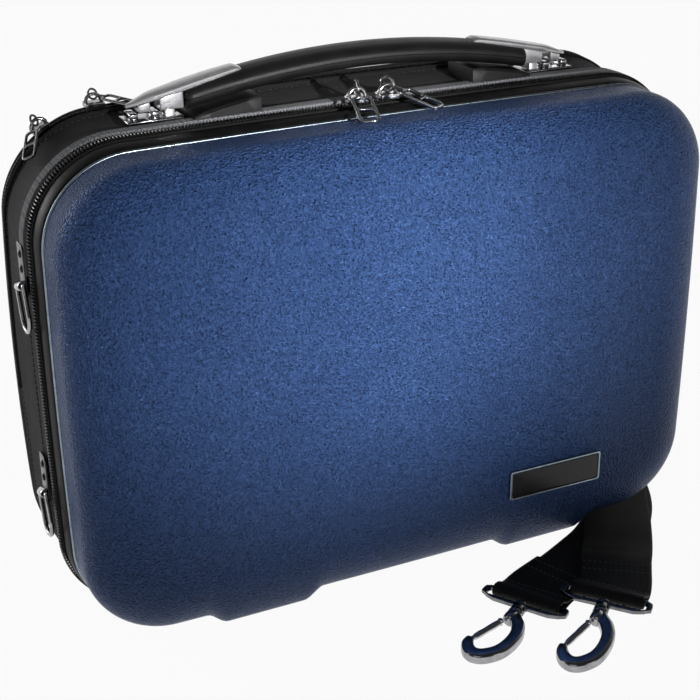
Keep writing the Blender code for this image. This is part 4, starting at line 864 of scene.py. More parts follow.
def build_inside():
    front, back = -0.0188, 0.0085
    inset = -0.0055
    rings = [case_ring(front, inset - 0.0022), case_ring(front + 0.0005, inset - 0.0009),
             case_ring(front + 0.0018, inset)]
    rings += [case_ring(y, inset) for y in (-0.0150, -0.0050, 0.0010, back)]
    cutters = []
    for name, (left, right, low, high) in tray_layout().items():
        lip = 0.0012 if name != "accessory" else 0.0002
        cutters.append(well(left, right, low, high, front, 0.0025, 0.010, lip))
    left, right, low, high = tray_layout()["accessory"]
    cutters.append(block((left - 0.004, front - 0.002, low - 0.004), (right + 0.004, front + 0.0033, high + 0.004),
                         0.001, 2))
    for side in (-1, 1):
        cutters.append(block((side * 0.1005 - 0.009, HANDLE_Y - 0.0065, 0.2255),
                             (side * 0.1005 + 0.009, HANDLE_Y + 0.0065, 0.30), 0.0004, 1))
    tray = make("instrument_tray", minus(lofted(rings), cutters), PLUSH, "base", "foam_tray", sharp=45)
    cover = block((left - 0.0037, front, low - 0.0037), (right + 0.0037, front + 0.003, high + 0.0037), 0.0008, 3)
    centre = ((left + right) / 2, high + 0.0037)
    notch = turned([(0, 0.011), (0.007, 0.011)], (centre[0], front - 0.002, centre[1]), (0, 1, 0), 40)
    make("accessory_cover", minus(cover, [notch]), PLUSH, "accessory_lid", "accessory_lid", sharp=45)
    outer = lid_surface(0.0033, 10)
    inner = lid_surface(0.0073, 10)
    rings = [case_ring(-0.0253, -0.0073), case_ring(-0.0254, -0.0050), case_ring(-0.0253, -0.0033),
             case_ring(RIM_Y, -0.0033)]
    rings += [case_ring(y, offset) for offset, y in outer]
    back_rings = [case_ring(RIM_Y, -0.0073)] + [case_ring(y, offset) for offset, y in inner]
    lining = make("front_lining", lofted(list(reversed(back_rings)) + rings), PLUSH, "lid", "lid_lining", sharp=60)


# Badge place, left bare
def build_badge():
    upright = Matrix.Rotation(math.pi / 2, 4, "X")
    reach = FRONT_Y - 0.0015 * 0.56 - GAP
    outer = rounded_loop(0.057, 0.0175, 0.0016)
    inner = rounded_loop(0.0546, 0.0151, 0.0010)
    ring = plate([outer, inner], 0.0010, 0.00035)
    place = Matrix.Translation((0.0825, reach - 0.0005, 0.0475)) @ upright
    make("badge_surround", moved(ring, place), SILVER, "lid", "badge_frame")
    face = plate([rounded_loop(0.0540, 0.0145, 0.0010)], 0.0007, 0.0002)
    make("badge_blank", moved(face, Matrix.Translation((0.0825, reach - 0.00035, 0.0475)) @ upright), BADGE, "lid",
         "badge_plate")


# Handle
GRIP_HALF = 0.093
CAP_START = 0.063
CAP_TIP = 0.121


def grip_height(x):
    return top_height(0, HANDLE_Y) + 0.0193 - 0.0105 * (x / GRIP_HALF) ** 2


def grip_half_depth(x):
    return mix(0.012, 0.0095, (abs(x) / GRIP_HALF) ** 2)


def cap_half(x):
    """Half width of the chrome leaf."""
    share = (x - CAP_START) / (CAP_TIP - CAP_START)
    table = ((0.0, 0.62), (0.04, 0.80), (0.25, 0.95), (0.5, 1.0), (0.75, 0.86), (0.92, 0.50), (1.0, 0.19))
    for (a, low), (b, high) in zip(table, table[1:]):
        if share <= b:
            return 0.0062 * mix(low, high, smoothstep(max(share - a, 0) / (b - a)) * 0.4
                                + 0.6 * max(share - a, 0) / (b - a))
    return 0.0062 * 0.19


def grip_upper(x, sides=14):
    """Section of the upper half, with a bed for the chrome leaf near its ends."""
    deep, z = grip_half_depth(x), grip_height(x)
    bed = cap_half(abs(x)) + 0.0003 if abs(x) > CAP_START else 0.0
    drop = 0.0018 if abs(x) > CAP_START else 0.0
    width = max(bed, 0.003)
    section = []
    edge = math.acos(min(width / deep, 1))
    for side in (-1, 1):
        arc = []
        for k in range(sides + 1):
            angle = edge * k / sides
            across = math.cos(angle) ** 0.85
            rise = math.sin(angle) ** 0.85
            arc.append((side * deep * across, 0.00017 + 0.0056 * rise))
        arc[-1] = (side * width, arc[-1][1])
        arc.append((side * (width - 0.0001), arc[-1][1] - drop if drop else arc[-1][1] + 0.00002))
        section.append(arc)
    floor_level = section[0][-1][1]
    middle = [(-width * 0.4, floor_level if drop else 0.0058), (width * 0.4, floor_level if drop else 0.0058)]
    under = [(deep * 0.93, -0.00017), (-deep * 0.93, -0.00017)]
    loop = section[0] + middle + list(reversed(section[1])) + under
    return [Vector((x, HANDLE_Y + a, z + b)) for a, b in loop]


def grip_lower(x, sides=12):
    deep, z = grip_half_depth(x), grip_height(x)
    loop = []
    for k in range(2 * sides + 1):
        angle = math.pi * k / (2 * sides)
        a, b = math.cos(angle), math.sin(angle)
        loop.append((deep * 0.965 * math.copysign(abs(a) ** 0.8, a), -0.00017 - 0.00533 * b ** 0.8))
    channel = 0.0063
    loop += [(-channel, -0.00017), (-channel, -0.0020), (channel, -0.0020), (channel, -0.00017)]
    return [Vector((x, HANDLE_Y + a, z + b)) for a, b in loop]


def grip_stations(fine=26):
    inner = [(CAP_START - 0.0001) * k / fine for k in range(fine + 1)]
    outer = [CAP_START + 0.0001 + (GRIP_HALF - CAP_START - 0.0007) * k / 12 for k in range(13)]
    right = inner + outer
    return [-x for x in reversed(right)] + right[1:]


def cap_underside(x):
    on_grip = min(x, GRIP_HALF)
    seat = grip_height(on_grip) + 0.0058 - 0.0018 + GAP
    return seat - 2 * 0.0105 / GRIP_HALF * max(x - GRIP_HALF, 0)


def build_grip():
    ends = []
    upper = [grip_upper(x) for x in grip_stations()]
    lower = [grip_lower(x) for x in grip_stations()]
    for rings in (upper, lower):
        for end, shift in ((0, -1), (-1, 1)):
            ring = rings[end]
            middle = sum(ring, Vector()) / len(ring)
            small = [middle + (p - middle) * 0.93 + Vector((shift * 0.0005, 0, 0)) for p in ring]
            ends.append(small)
            rings.insert(0, small) if end == 0 else rings.append(small)
    make("grip_upper_half", lofted(upper), GRIP, "handle", "handle_grip_top", sharp=50)
    make("grip_lower_half", lofted(lower), GRIP, "handle", "handle_grip_bottom", sharp=50)
    core = []
    for x in grip_stations(12):
        top = grip_height(x) - 0.00017 - GAP
        core.append([Vector((x, HANDLE_Y + a, top + b)) for a, b in
                     ((-0.006, -0.0003), (-0.0057, 0), (0.0057, 0), (0.006, -0.0003), (0.006, -0.0010),
                      (0.0057, -0.0012), (-0.0057, -0.0012), (-0.006, -0.0010))])
    make("grip_steel_core", lofted(core), GUNMETAL, "handle", "handle_steel_strap")


def build_cap(side, label):
    rings = []
    for k in range(37):
        share = k / 36
        x = mix(CAP_START + 0.0006, CAP_TIP, share)
        half = cap_half(x)
        z = cap_underside(x)
        thick = 0.0034 * (1 - 0.55 * smoothstep((share - 0.78) / 0.22)) * (0.55 + 0.45 * smoothstep(share / 0.05))
        loop = [(-half * 0.97, 0.0), (-half, 0.0003), (-half * 0.985, thick * 0.62)]
        loop += [(half * a, thick * (1 - 0.22 * abs(a) ** 2.2)) for a in (-0.84, -0.75, -0.5, -0.25, 0, 0.25, 0.5, 0.75, 0.84)]
        loop += [(half * 0.985, thick * 0.62), (half, 0.0003), (half * 0.97, 0.0)]
        rings.append([Vector((side * x, HANDLE_Y + a, z + b)) for a, b in loop])
    bottom = 0.25731
    parts = [lofted(rings)]
    for near, far in ((0.0936, 0.1054), (0.1102, 0.1161)):
        tops = [cap_underside(x) + 0.0004 for x in (near, far)]
        ends = (near, far) if side > 0 else (-far, -near)
        heights = tops if side > 0 else tops[::-1]
        parts.append(block((ends[0], HANDLE_Y - 0.005, bottom), (ends[1], HANDLE_Y + 0.005, max(tops)), 0.0007, 4,
                           tops=heights))
    parts.append(block((side * 0.1005 - 0.0025, HANDLE_Y - 0.004, 0.2293), (side * 0.1005 + 0.0025, HANDLE_Y + 0.004,
                                                                          bottom + 0.002), 0.0005, 2))
    parts.append(block((side * 0.1005 - 0.0045, HANDLE_Y - 0.0037, 0.2293), (side * 0.1005 + 0.0045,
                                                                            HANDLE_Y + 0.0037, 0.2321), 0.0005, 2))
    make(f"leaf_cap_{label}", joined(*parts), LEAF, "handle", f"handle_cap_{label}", sharp=40)


def build_bracket(side, label):
    low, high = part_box(f"handle_bracket_{label}")
    seat = low[2]
    slot = block((side * 0.1005 - 0.0029, HANDLE_Y - 0.0044, seat - 0.01), (side * 0.1005 + 0.0029, HANDLE_Y + 0.0044,
                                                                       seat + 0.02), 0.0003, 1)
    base = minus(block((low[0], low[1], seat), (high[0], high[1], seat + 0.0014), 0.0005, 3), [slot])
    parts = [base]
    for x in (0.1078, 0.1185):
        parts.append(block((side * x - 0.0021, HANDLE_Y - 0.005, seat + 0.0008),
                           (side * x + 0.0021, HANDLE_Y + 0.005, seat + 0.0046), 0.0008, 4))
    make(f"guide_bracket_{label}", joined(*parts), SMOKE, "base", f"handle_bracket_{label}", sharp=40)
    low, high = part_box(f"handle_backing_plate_{label}")
    slot = block((side * 0.1005 - 0.0029, HANDLE_Y - 0.0044, low[2] - 0.01), (side * 0.1005 + 0.0029,
                                                                         HANDLE_Y + 0.0044, low[2] + 0.02), 0.0003, 1)
    make(f"backing_plate_{label}", minus(block(tuple(low), tuple(high), 0.0004, 2), [slot]), GUNMETAL, "base",
         f"handle_backing_plate_{label}", sharp=40)


def build_wedge(side, label):
    """Rubber wedge under the grip's end, its front lip over the webbing."""
    inner, outer = 0.058, 0.092
    front, back = -0.0124, 0.008
    rings = []
    for k in range(9):
        x = mix(inner, outer, k / 8)
        edge = 0.0008 if k in (0, 8) else 0.0
        top = grip_height(x) - 0.0055 - 0.0007 - edge
        seat = [top_height(x, y) + GAP for y in (front, back)]
        lip = top_height(x, front) + 0.0020
        lip_front = -0.0199
        loop = [(lip_front + edge, lip), (lip_front + edge, top - 0.0012), (lip_front + 0.0012, top),
                (back - 0.0012, top), (back - edge, top - 0.0012), (back - edge, seat[1]), (front, seat[0]),
                (front, lip)]
        rings.append([Vector((side * x, y, z)) for y, z in loop])
    make(f"grip_wedge_{label}", lofted(rings), WEDGE, "base", f"handle_foot_{label}", sharp=40)


# Zip sliders and pulls
def slider_mesh(scale):
    """Slider body with a waist, and its arched bridge; X along the zip, Z out of the case."""
    length, width, thick = 0.0105 * scale, 0.0088 * scale, 0.003 * scale
    outline = smooth_path([(-0.5, -0.34), (-0.42, -0.46), (-0.1, -0.38), (0.2, -0.42), (0.44, -0.5), (0.5, -0.36),
                           (0.44, 0.0), (0.5, 0.36), (0.44, 0.5), (0.2, 0.42), (-0.1, 0.38), (-0.42, 0.46),
                           (-0.5, 0.34), (-0.49, 0.0)], 3, cyclic=True)
    loop = [(x * length, y * width) for x, y in outline]
    body = moved(plate([loop], thick, 0.00055 * scale), Matrix.Translation((0, 0, thick / 2)))
    radius = 0.0044 * scale
    base = thick - 0.00045 * scale
    arch = []
    for k in range(25):
        angle = math.pi * k / 24
        arch.append((radius * math.cos(angle), 0, base + radius * math.sin(angle)))
    sizes = [0.0009 * scale * (1.0 + 0.25 * abs(math.cos(math.pi * k / 24)) ** 4) for k in range(25)]
    return joined(body, swept(arch, sizes, 12, up=(0, 1, 0), flat=1.0)), base + radius


def pull_mesh(scale, drop, turn):
    """Two-window pull hanging from a small ring."""
    length, width, bar = 0.0175 * scale, 0.0086 * scale, 0.0012 * scale
    thick, ring, neck = 0.0013 * scale, 0.0027 * scale, 0.0040 * scale
    window = (length - 3 * bar) / 2
    holes = [[(x, y + middle) for x, y in rounded_loop(width - 2 * bar, window, bar * 1.2)]
             for middle in (-(window + bar) / 2, (window + bar) / 2)]
    frame_part = plate([rounded_loop(width, length, bar * 2.2), *holes], thick, 0.0003 * scale)
    frame_part = moved(frame_part, Matrix.Translation((0, -length / 2 - ring - neck, 0)))
    link = swept([(0, -ring + 0.0001 * scale, 0), (0, -ring - neck * 0.5, 0), (0, -ring - neck - bar * 0.43, 0)],
                 [0.00062 * scale, 0.00072 * scale, 0.0010 * scale], 12)
    eye = swept([(0, ring * math.cos(a), ring * math.sin(a)) for a in (2 * math.pi * k / 28 for k in range(28))],
                0.0006 * scale, 10, cyclic=True, up=(1, 0, 0))
    tilt = Matrix.Rotation(math.radians(turn), 4, "Z") @ Matrix.Rotation(math.asin(drop), 4, "X")
    return moved(joined(frame_part, link, eye), tilt)


def add_slider(label, place, scale, drop, turn, material, pull_scale=None):
    body, apex = slider_mesh(scale)
    make(f"{label}_slider_body", moved(body, place), material, f"{label}_slider", f"{label}_slider", sharp=40)
    hang = place @ Matrix.Translation((0, 0, apex))
    make(f"{label}_pull_tab", moved(pull_mesh(pull_scale or scale, drop, turn), hang), material, f"{label}_pull", f"{label}_pull",
         sharp=40)


def coarse_ring(y):
    """The outline with the CAD's own corner points, on which the pocket sliders sit."""
    shape = case_shape(y, 0)
    half, high, radius = shape["half"], shape["high"], shape["high_radius"]
    middle = (shape["low"] + high) / 2
    points = []
    for k in range(8):
        angle = math.pi / 2 * k / 7
        x, z = half - radius + radius * math.cos(angle), high - radius + radius * math.sin(angle)
        points.append((x, z))
    points += [((half - radius) / 2, high), (0, high)]
    bowed = []
    for x, z in points:
        across, up = x / half, (z - middle) / (high - middle)
        bowed.append(Vector((-(x - shape["bow"] * across * up ** 2), y, z - shape["bow"] * up * across ** 2)))
    return bowed


def seat_on(place_from_top):
    """Frame on the top left corner; the place counts corner points from the top straight."""
    ring = coarse_ring(BACK_Y - 0.0035)
    ring = list(reversed(ring))
    place = 2 + place_from_top
    index = int(place)
    start, end = ring[index], ring[index + 1]
    seat = start.lerp(end, place - index)
    lean = Matrix.Rotation(-math.atan2(start.z - end.z, start.x - end.x), 4, "Y")
    return Matrix.Translation((seat.x, POCKET_ZIP_Y, seat.z)) @ lean @ Matrix.Translation((0, 0, 2 * GAP))


def build_sliders():
    z = top_height(0, COIL_Y) + 0.001 + GAP
    add_slider("main_left", Matrix.Translation((-0.0105, COIL_Y, z)), 1.0, 0.32, -12.0, CHROME, 1.25)
    add_slider("main_right", Matrix.Translation((0.0062, COIL_Y, z)), 1.0, 0.285, 38.0, CHROME, 1.25)
    add_slider("pocket_low", seat_on(7 * 0.357), 0.9, 0.30, -40.0, GUNMETAL, 0.95)
    add_slider("pocket_high", seat_on(-0.03), 0.9, 0.14, 41.0, GUNMETAL, 0.92)


# Side rings
def build_ring(side, level, height):
    label = f"{'left' if side < 0 else 'right'}_{height}"
    low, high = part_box(f"ring_plate_{label}")
    wall = low[0] if side > 0 else high[0]
    lean = Matrix.Translation((0, -0.0145, level)) @ Matrix.Rotation(math.radians(-18), 4, "X")
    plate_part = plate([rounded_loop(0.011, 0.0252, 0.0022)], 0.0012, 0.0004)
    stand = Matrix.Rotation(math.pi / 2, 4, "Y") @ Matrix.Rotation(math.pi / 2, 4, "Z")
    middle = Matrix.Translation((wall + side * 0.0006, -0.0145, level - 0.004 + 0.0126))
    parts = [moved(plate_part, middle @ stand)]
    for z in (level + 0.0085, level + 0.0160):
        parts.append(turned([(0.0, 0.0019), (0.0004, 0.0019), (0.0008, 0.0015), (0.0010, 0.0006)],
                            (wall + side * 0.0012, -0.0145, z), (side, 0, 0), 20))
    make(f"ring_mount_{label}", joined(*parts), PLATE, "base", f"ring_plate_{label}", sharp=40)
    bridge = []
    bar = 0.0012 + GAP + 0.0011
    for k in range(13):
        angle = math.pi * k / 12
        bridge.append((math.cos(angle) * 0.00245, math.sin(angle)))
    rings = []
    for a in (-0.0045, -0.0042, 0.0042, 0.0045):
        edge = 0.0002 if abs(a) > 0.0043 else 0.0
        outer = [(wall + side * (0.0006 + (0.0042 - edge) * s), a, c * 1.12) for c, s in bridge]
        inner = [(wall + side * (0.0006 + (bar - 0.0006 + 0.0015 + edge) * s), a, c * 0.62) for c, s in reversed(bridge)]
        rings.append([Vector(p) for p in outer + inner])
    make(f"ring_clip_{label}", moved(lofted(rings), lean), SMOKE, "base", sharp=40)
    points = [(0, 0.0078, -0.0012), (0, 0.0066, 0.0), (0, 0.0033, 0), (0, 0, 0), (0, -0.0033, 0), (0, -0.0066, 0.0),
              (0, -0.0078, -0.0012)]
    for k in range(17):
        angle = math.pi * (1 + k / 16)
        points.append((0, 0.0078 * math.cos(angle), -0.014 + 0.0078 * math.sin(angle)))
    wire = swept(smooth_path(points, 3, cyclic=True), 0.0011, 14, cyclic=True, up=(1, 0, 0))
    hang = lean @ Matrix.Translation((wall + side * bar, 0, 0))
    make(f"d_ring_{label}", moved(wire, hang), SMOKE, f"ring_{label}", f"side_ring_{label}")


# Shoulder strap
LEFT_ARM = ((0.0420, -0.1150), (0.0600, -0.1045), (0.0800, -0.0965), (0.0980, -0.0880), (0.1150, -0.0790),
            (0.1310, -0.0665), (0.1450, -0.0500), (0.1555, -0.0310), (0.1625, -0.0100), (0.1660, 0.0120),
            (0.1660, 0.0350))
RIGHT_ARM = ((0.0770, -0.1365), (0.0905, -0.1240), (0.1020, -0.1080), (0.1160, -0.0900), (0.1290, -0.0710),
             (0.1410, -0.0520), (0.1520, -0.0330), (0.1610, -0.0130), (0.1660, 0.0100), (0.1660, 0.0350))


def layer_height(layer):
    return layer * (STRAP_THICKNESS + GAP) + STRAP_THICKNESS / 2


def webbing_strip(points, sides, ribs=13):
    """Webbing with ribs along it; each point has its own direction across."""
    rings = []
    last = len(points) - 1
    for i, (point, side) in enumerate(zip(points, sides)):
        tangent = (points[min(i + 1, last)] - points[max(i - 1, 0)]).normalized()
        normal = side.cross(tangent).normalized()
        half = STRAP_THICKNESS / 2
        loop = []
        for face in (-1, 1):
            for k in range(2 * ribs + 1):
                across = face * (-1 + k / ribs)
                edge = 0.55 if k in (0, 2 * ribs) else 1.0
                rib = 0.00011 * (k % 2)
                loop.append(point + side * (across * STRAP_WIDTH / 2) + normal * (-face) * (half * edge - 0.00011 + rib))
        rings.append(loop)
    return lofted(rings)


def build_arm(label, route, layers, axis, heading):
    start = Vector((*route[0], 0))
    ahead = Vector((math.cos(heading), math.sin(heading), 0))
    across = Vector((ahead.y, -ahead.x, 0))
    radius = math.hypot(0.0024, 0.0026) / 2 + STRAP_THICKNESS / 2 + GAP
    upper = layer_height(layers[0] + 1)
    low = layer_height(layers[0])
    flat = [Vector((*spot, layer_height(layer))) for spot, layer in zip(route, layers)]
    near = start - ahead * 0.012 + Vector((0, 0, low))
    run = [Vector(p) for p in smooth_path([tuple(p) for p in [near] + flat[1:]], 6)]
    run_sides = []
    for i in range(len(run)):
        tangent = run[min(i + 1, len(run) - 1)] - run[max(i - 1, 0)]
        flat_side = Vector((-tangent.y, tangent.x, 0)).normalized()
        run_sides.append((-across if across.dot(flat_side) < 0 else across).lerp(flat_side, smoothstep(i / 6)).normalized())
    if across.dot(run_sides[0]) < 0:
        run_sides = [-side for side in run_sides]
    sewn = [i for i in range(len(run)) if (run[i] - run[0]).length < 0.028]
    points = [Vector((run[i].x, run[i].y, upper)) for i in reversed(sewn)]
    sides = [run_sides[i] for i in reversed(sewn)]
    points += [start - ahead * reach + Vector((0, 0, mix(upper, axis + radius, rise)))
               for reach, rise in ((0.008, 0.2), (0.0035, 0.85))]
    for k in range(13):
        angle = math.pi * k / 12
        points.append(start + ahead * radius * math.sin(angle) + Vector((0, 0, axis + radius * math.cos(angle))))
    points += [start - ahead * reach + Vector((0, 0, mix(low, axis - radius, rise)))
               for reach, rise in ((0.0035, 0.7), (0.008, 0.15))]
    sides += [across] * (len(points) - len(sides))
    points += run
    sides += run_sides
    item = make(f"strap_webbing_{label}", webbing_strip(points, sides), WEBBING, "strap", f"strap_arm_{label}",
                sharp=60)
    # Three rows of stitches across the sewn end, two of them close together
    samples = []
    for i in (sewn[0], sewn[-2], sewn[-2] - 2):
        for k in range(13):
            spot = Vector((run[i].x, run[i].y, upper + STRAP_THICKNESS / 2))
            samples.append((spot + run_sides[i] * (STRAP_WIDTH * 0.88 * (k / 12 - 0.5)), run_sides[i],
                            Vector((0, 0, 1))))
    stitches(samples, 0.00005, 0.0019, 0.00030, GREY_STITCH, f"strap_stitches_{label}", "strap")
    return item


def build_folds():
    """The rest of the strap, folded to and fro in a flat bundle behind the case."""
    low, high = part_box("strap_folds")
    y = (low[1] + high[1]) / 2
    layers = 6
    pitch = STRAP_THICKNESS + GAP
    points = []
    radius = pitch / 2
    for layer in range(layers):
        z = layer_height(layer)
        ends = (high[0] - 0.003, low[0] + 0.003)
        if layer % 2:
            ends = ends[::-1]
        for k in range(9):
            points.append(Vector((mix(ends[0], ends[1], k / 8), y, z)))
        if layer < layers - 1:
            turn = 1 if ends[1] > ends[0] else -1
            for k in range(1, 8):
                angle = math.pi * k / 8
                points.append(Vector((ends[1] + turn * radius * math.sin(angle), y, z + radius * (1 - math.cos(angle)))))
    sides = [Vector((0, 1, 0))] * len(points)
    item = make("strap_bundle", webbing_strip(points, sides, 9), WEBBING, "strap", "strap_folds", sharp=60)
    return item


def hook_frame(label, place):
    """Frame with cut corners, one slot, two pins and a swivel boss, built along +X from the strap's bar."""
    depth, length, cut = 0.0105, 0.048, 0.0030
    back, front = -0.0012, depth - 0.0012
    half = length / 2
    outline = [(back, -half + cut), (back + cut * 0.5, -half + 0.0004), (back + cut, -half), (front - 0.0040, -half),
               (front - 0.0012, -half + 0.0050), (front, -half + 0.0085), (front, half - 0.0085),
               (front - 0.0012, half - 0.0050), (front - 0.0040, half), (back + cut, half),
               (back + cut * 0.5, half - 0.0004), (back, half - cut)]
    slot = [(x + 0.0012 + 0.00275, y) for x, y in rounded_loop(0.0055, 0.042, 0.0014)]
    parts = [plate([outline, slot], 0.0026, 0.0006)]
    parts.append(turned([(0.0070, 0.0030), (0.0074, 0.0036), (0.0088, 0.0038), (0.0096, 0.0034), (0.0104, 0.0038),
                         (0.0130, 0.0038), (0.0135, 0.0034), (0.0135, 0.0026)], (0, 0, 0), (1, 0, 0)))
    for side in (-1, 1):
        parts.append(turned([(-0.0014, 0.0011), (0.0014, 0.0011), (0.0017, 0.0007)], (0.0076, side * 0.0105, 0),
                            (0, 0, 1), 14))
    make(f"swivel_frame_{label}", moved(joined(*parts), place), GUNMETAL, "strap", f"hook_frame_{label}", sharp=35)


def band_along(path, widths, half_height, sides=24):
    """A flat band on edge with rounded corners, following a level path."""
    rings, last = [], len(path) - 1
    for i, point in enumerate(path):
        tangent = (path[min(i + 1, last)] - path[max(i - 1, 0)]).normalized()
        side = tangent.cross(Vector((0, 0, 1))).normalized()
        height = half_height * min(1.0, widths[i] / widths[last // 2] * 1.12)
        ring = []
        for k in range(sides):
            a, b = math.cos(2 * math.pi * k / sides), math.sin(2 * math.pi * k / sides)
            ring.append(point + side * (widths[i] * math.copysign(abs(a) ** 0.55, a))
                        + Vector((0, 0, height * math.copysign(abs(b) ** 0.55, b))))
        rings.append(ring)
    return lofted(rings)


def hook_body(label, place):
    """Lobster hook: stem, collar and a broad flattened bow with a tapering nose."""
    start = 0.0072 + 0.0065 + GAP
    bow = 0.044 - 0.0031
    route = ((0.0, 0.10), (0.10, 0.40), (0.20, 0.72), (0.36, 0.98), (0.58, 1.0), (0.78, 0.78), (0.93, 0.25),
             (0.97, -0.25), (0.92, -0.68), (0.82, -0.95), (0.71, -1.05))
    sizes = (0.80, 0.95, 1.02, 1.0, 0.98, 1.0, 1.05, 1.08, 1.0, 0.88, 0.62)
    rows = [(start + 0.0031 + along * bow, across * 0.0092, 0.0, 0.0041 * size)
            for (along, across), size in zip(route, sizes)]
    fine = smooth_path(rows, 7)
    parts = [band_along([Vector(p[:3]) for p in fine], [p[3] * 0.86 for p in fine], 0.00305)]
    parts.append(turned([(-0.0074, 0.0018), (-0.0074, 0.0028), (-0.0066, 0.0032), (-0.0062, 0.0021),
                         (0.0, 0.0021), (0.0, 0.0030), (0.0006, 0.0037), (0.0020, 0.0038), (0.0026, 0.0033),
                         (0.0034, 0.0038), (0.0070, 0.0038), (0.0084, 0.0034), (0.0092, 0.0022)],
                        (start, 0, 0), (1, 0, 0)))
    make(f"lobster_hook_{label}", moved(joined(*parts), place), SMOKE, f"hook_{label}", f"hook_{label}", sharp=45)
    tip = (start + 0.0031 + 0.71 * bow, -1.05 * 0.0095)
    pin = Vector((start + 0.0090 + 0.0012, -0.0028, 0))
    reach = Vector((tip[0] - 0.0012, tip[1] + 0.0009, 0))
    path = [pin.lerp(reach, k / 8) for k in range(9)]
    widths = [0.0012, 0.0017, 0.0018, 0.0018, 0.0017, 0.0017, 0.0018, 0.0017, 0.0011]
    gate = joined(swept(path, widths, 14, up=(0, 0, 1)),
                  turned([(-0.0018, 0.0010), (-0.0016, 0.0013), (0.0016, 0.0013), (0.0018, 0.0010)],
                         tuple(pin.lerp(reach, 0.06)), (0, 0, 1), 16))
    make(f"spring_gate_{label}", moved(gate, place), CHROME, f"gate_{label}", f"hook_gate_{label}")


def build_strap():
    folds = build_folds()
    items = [folds]
    for label, route, layers, axis, turn in (("left", LEFT_ARM, (0,) * 11, 0.0042, -147.0),
                                             ("right", RIGHT_ARM, (2, 2, 2, 1, 1, 1, 1, 1, 1, 1), 0.0090, -140.0)):
        heading = math.radians(turn)
        items.append(build_arm(label, route, layers, axis, heading))
        pitch = math.asin((axis - 0.0031 - GAP) / (0.0105 + 0.044))
        place = (Matrix.Translation((*route[0], axis)) @ Matrix.Rotation(heading, 4, "Z")
                 @ Matrix.Rotation(pitch, 4, "Y"))
        hook_frame(label, place)
        hook_body(label, place)
    for item in items:
        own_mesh(item)


# Floor, light and camera
def build_stage():
    mesh = bpy.data.meshes.new("strap_floor")
    size = 4.0
    mesh.from_pydata([(-size, -size, -0.0002), (size, -size, -0.0002), (size, size, -0.0002), (-size, size, -0.0002)],
                     [], [(0, 1, 2, 3)])
    floor = bpy.data.objects.new("strap_floor", mesh)
    bpy.context.scene.collection.objects.link(floor)
    material = bpy.data.materials.new("pale_floor")
    material.use_nodes = True
    tree = material.node_tree
    shader = tree.nodes["Principled BSDF"]
    shader.inputs["Base Color"].default_value = (0.86, 0.86, 0.86, 1)
    shader.inputs["Roughness"].default_value = 0.9
    shader.inputs["Specular IOR Level"].default_value = 0.0
    # What the camera, metal and lamps' shadows see through the floor is the white world, and in the open poses the
    # part of the case that swings below the level it stands on
    seen = tree.nodes.new("ShaderNodeLightPath")
    rays = seen.outputs["Is Camera Ray"]
    for kind in ("Is Glossy Ray", "Is Transmission Ray", "Is Shadow Ray"):
        either = tree.nodes.new("ShaderNodeMath")
        either.operation = "MAXIMUM"
        tree.links.new(rays, either.inputs[0])
        tree.links.new(seen.outputs[kind], either.inputs[1])
        rays = either.outputs[0]
    share = tree.nodes.new("ShaderNodeMath")
    share.operation = "MULTIPLY"
    share.inputs[1].default_value = 0.95
    clear = tree.nodes.new("ShaderNodeBsdfTransparent")
    blend = tree.nodes.new("ShaderNodeMixShader")
    tree.links.new(rays, share.inputs[0])
    tree.links.new(share.outputs[0], blend.inputs["Fac"])
    tree.links.new(shader.outputs[0], blend.inputs[1])
    tree.links.new(clear.outputs[0], blend.inputs[2])
    tree.links.new(blend.outputs[0], tree.nodes["Material Output"].inputs["Surface"])
    mesh.materials.append(material)


def build_world():
    world = bpy.data.worlds.new("studio")
    bpy.context.scene.world = world
    world.use_nodes = True
    tree = world.node_tree
    background = tree.nodes["Background"]
    background.inputs["Color"].default_value = (1, 1, 1, 1)
    seen = tree.nodes.new("ShaderNodeLightPath")
    place = tree.nodes.new("ShaderNodeTexCoord")
    split = tree.nodes.new("ShaderNodeSeparateXYZ")
    tree.links.new(place.outputs["Generated"], split.inputs[0])

    def ranged(source, low, high, start, end):
        made = tree.nodes.new("ShaderNodeMapRange")
        made.interpolation_type = "SMOOTHSTEP"
        for key, value in (("From Min", low), ("From Max", high), ("To Min", start), ("To Max", end)):
            made.inputs[key].default_value = value
        tree.links.new(source, made.inputs["Value"])
        return made.outputs["Result"]

    def maths(operation, first, second):
        made = tree.nodes.new("ShaderNodeMath")
        made.operation = operation
        tree.links.new(first, made.inputs[0])
        tree.links.new(second, made.inputs[1])
        return made.outputs[0]

    # The white backdrop behind the object, as metal shows it, and the dim room over and before it
    mirrored = maths("MAXIMUM", seen.outputs["Is Glossy Ray"], seen.outputs["Is Transmission Ray"])
    backdrop = maths("MULTIPLY", ranged(split.outputs["Y"], -0.25, 0.45, 0.03, 1.0),
                     ranged(split.outputs["Z"], 0.20, 0.75, 1.0, 0.10))
    backdrop = maths("MAXIMUM", backdrop, ranged(split.outputs["Z"], -0.02, 0.0, 1.0, 0.0))
    dim = ranged(split.outputs["Z"], 0.0, 0.8, 0.09, 0.045)
    level = maths("MAXIMUM", maths("MAXIMUM", seen.outputs["Is Camera Ray"], maths("MULTIPLY", mirrored, backdrop)),
                  dim)
    tree.links.new(level, background.inputs["Strength"])


def lamp(name, place, target, size, energy):
    data = bpy.data.lights.new(name, "AREA")
    data.shape = "RECTANGLE"
    data.size, data.size_y = size
    data.energy = energy
    item = bpy.data.objects.new(name, data)
    bpy.context.scene.collection.objects.link(item)
    item.location = place
    item.rotation_euler = (Vector(target) - Vector(place)).to_track_quat("-Z", "Y").to_euler()


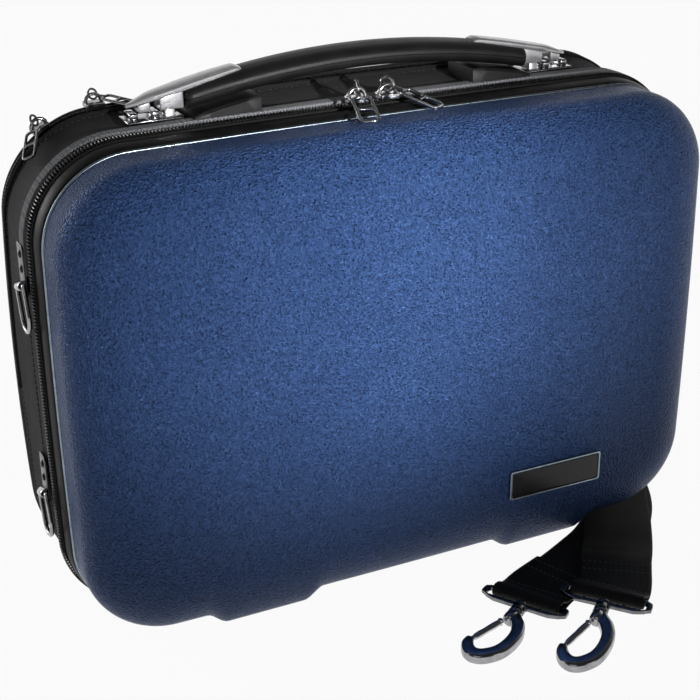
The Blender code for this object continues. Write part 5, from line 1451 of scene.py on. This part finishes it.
def build_light():
    build_world()
    lamp("key", (-1.2, -1.3, 1.0), (0, -0.05, 0.12), (1.2, 1.0), 2.2)
    lamp("front", (0.62, -1.45, 0.34), (0, -0.07, 0.16), (0.45, 0.4), 0.7)
    lamp("back", (-1.0, 0.9, 1.5), (0, 0, 0.15), (1.2, 0.8), 1.3)
    lamp("rear", (-1.1, 1.3, 0.45), (0, 0, 0.12), (0.9, 0.6), 10)
    for label, across, energy in (("left", -0.045, 205), ("right", 0.050, 130)):
        pool = bpy.data.lights.new(f"pool_{label}", "SPOT")
        pool.energy = energy
        pool.spot_size = math.radians(10.4)
        pool.spot_blend = 1.0
        pool.shadow_soft_size = 0.04
        item = bpy.data.objects.new(f"pool_{label}", pool)
        bpy.context.scene.collection.objects.link(item)
        item.location = (0.25, -1.75, 0.55)
        aim = Vector((across, -0.075, 0.185)) - item.location
        item.rotation_euler = aim.to_track_quat("-Z", "Y").to_euler()


def build_camera():
    data = bpy.data.cameras.new("camera")
    data.sensor_width = 36
    data.lens = 74.7
    data.clip_start = 0.01
    camera = bpy.data.objects.new("camera", data)
    bpy.context.scene.collection.objects.link(camera)
    eye = Vector((-0.3097, -0.6540, 0.4323))
    azimuth, elevation, roll = (math.radians(a) for a in (-25.03, 24.08, -0.8))
    ahead = Vector((-math.sin(azimuth) * math.cos(elevation), math.cos(azimuth) * math.cos(elevation),
                    -math.sin(elevation)))
    right = ahead.cross(Vector((0, 0, 1))).normalized()
    above = right.cross(ahead)
    turned_right = right * math.cos(roll) + above * math.sin(roll)
    turned_above = above * math.cos(roll) - right * math.sin(roll)
    axes = Matrix((turned_right, turned_above, -ahead)).transposed().to_4x4()
    camera.matrix_world = Matrix.Translation(eye) @ axes
    bpy.context.scene.camera = camera


build_camera()
build_stage()
build_light()
build_shell()
build_rim()
build_main_zip()
build_base()
build_pocket()
build_webbing()
build_inside()
build_badge()
build_grip()
for flank, flank_name in ((-1, "left"), (1, "right")):
    build_cap(flank, flank_name)
    build_bracket(flank, flank_name)
    build_wedge(flank, flank_name)
    build_ring(flank, 0.184, "upper")
    build_ring(flank, 0.0735, "lower")
build_sliders()
build_strap()

bpy.context.scene.view_settings.view_transform = "Standard"
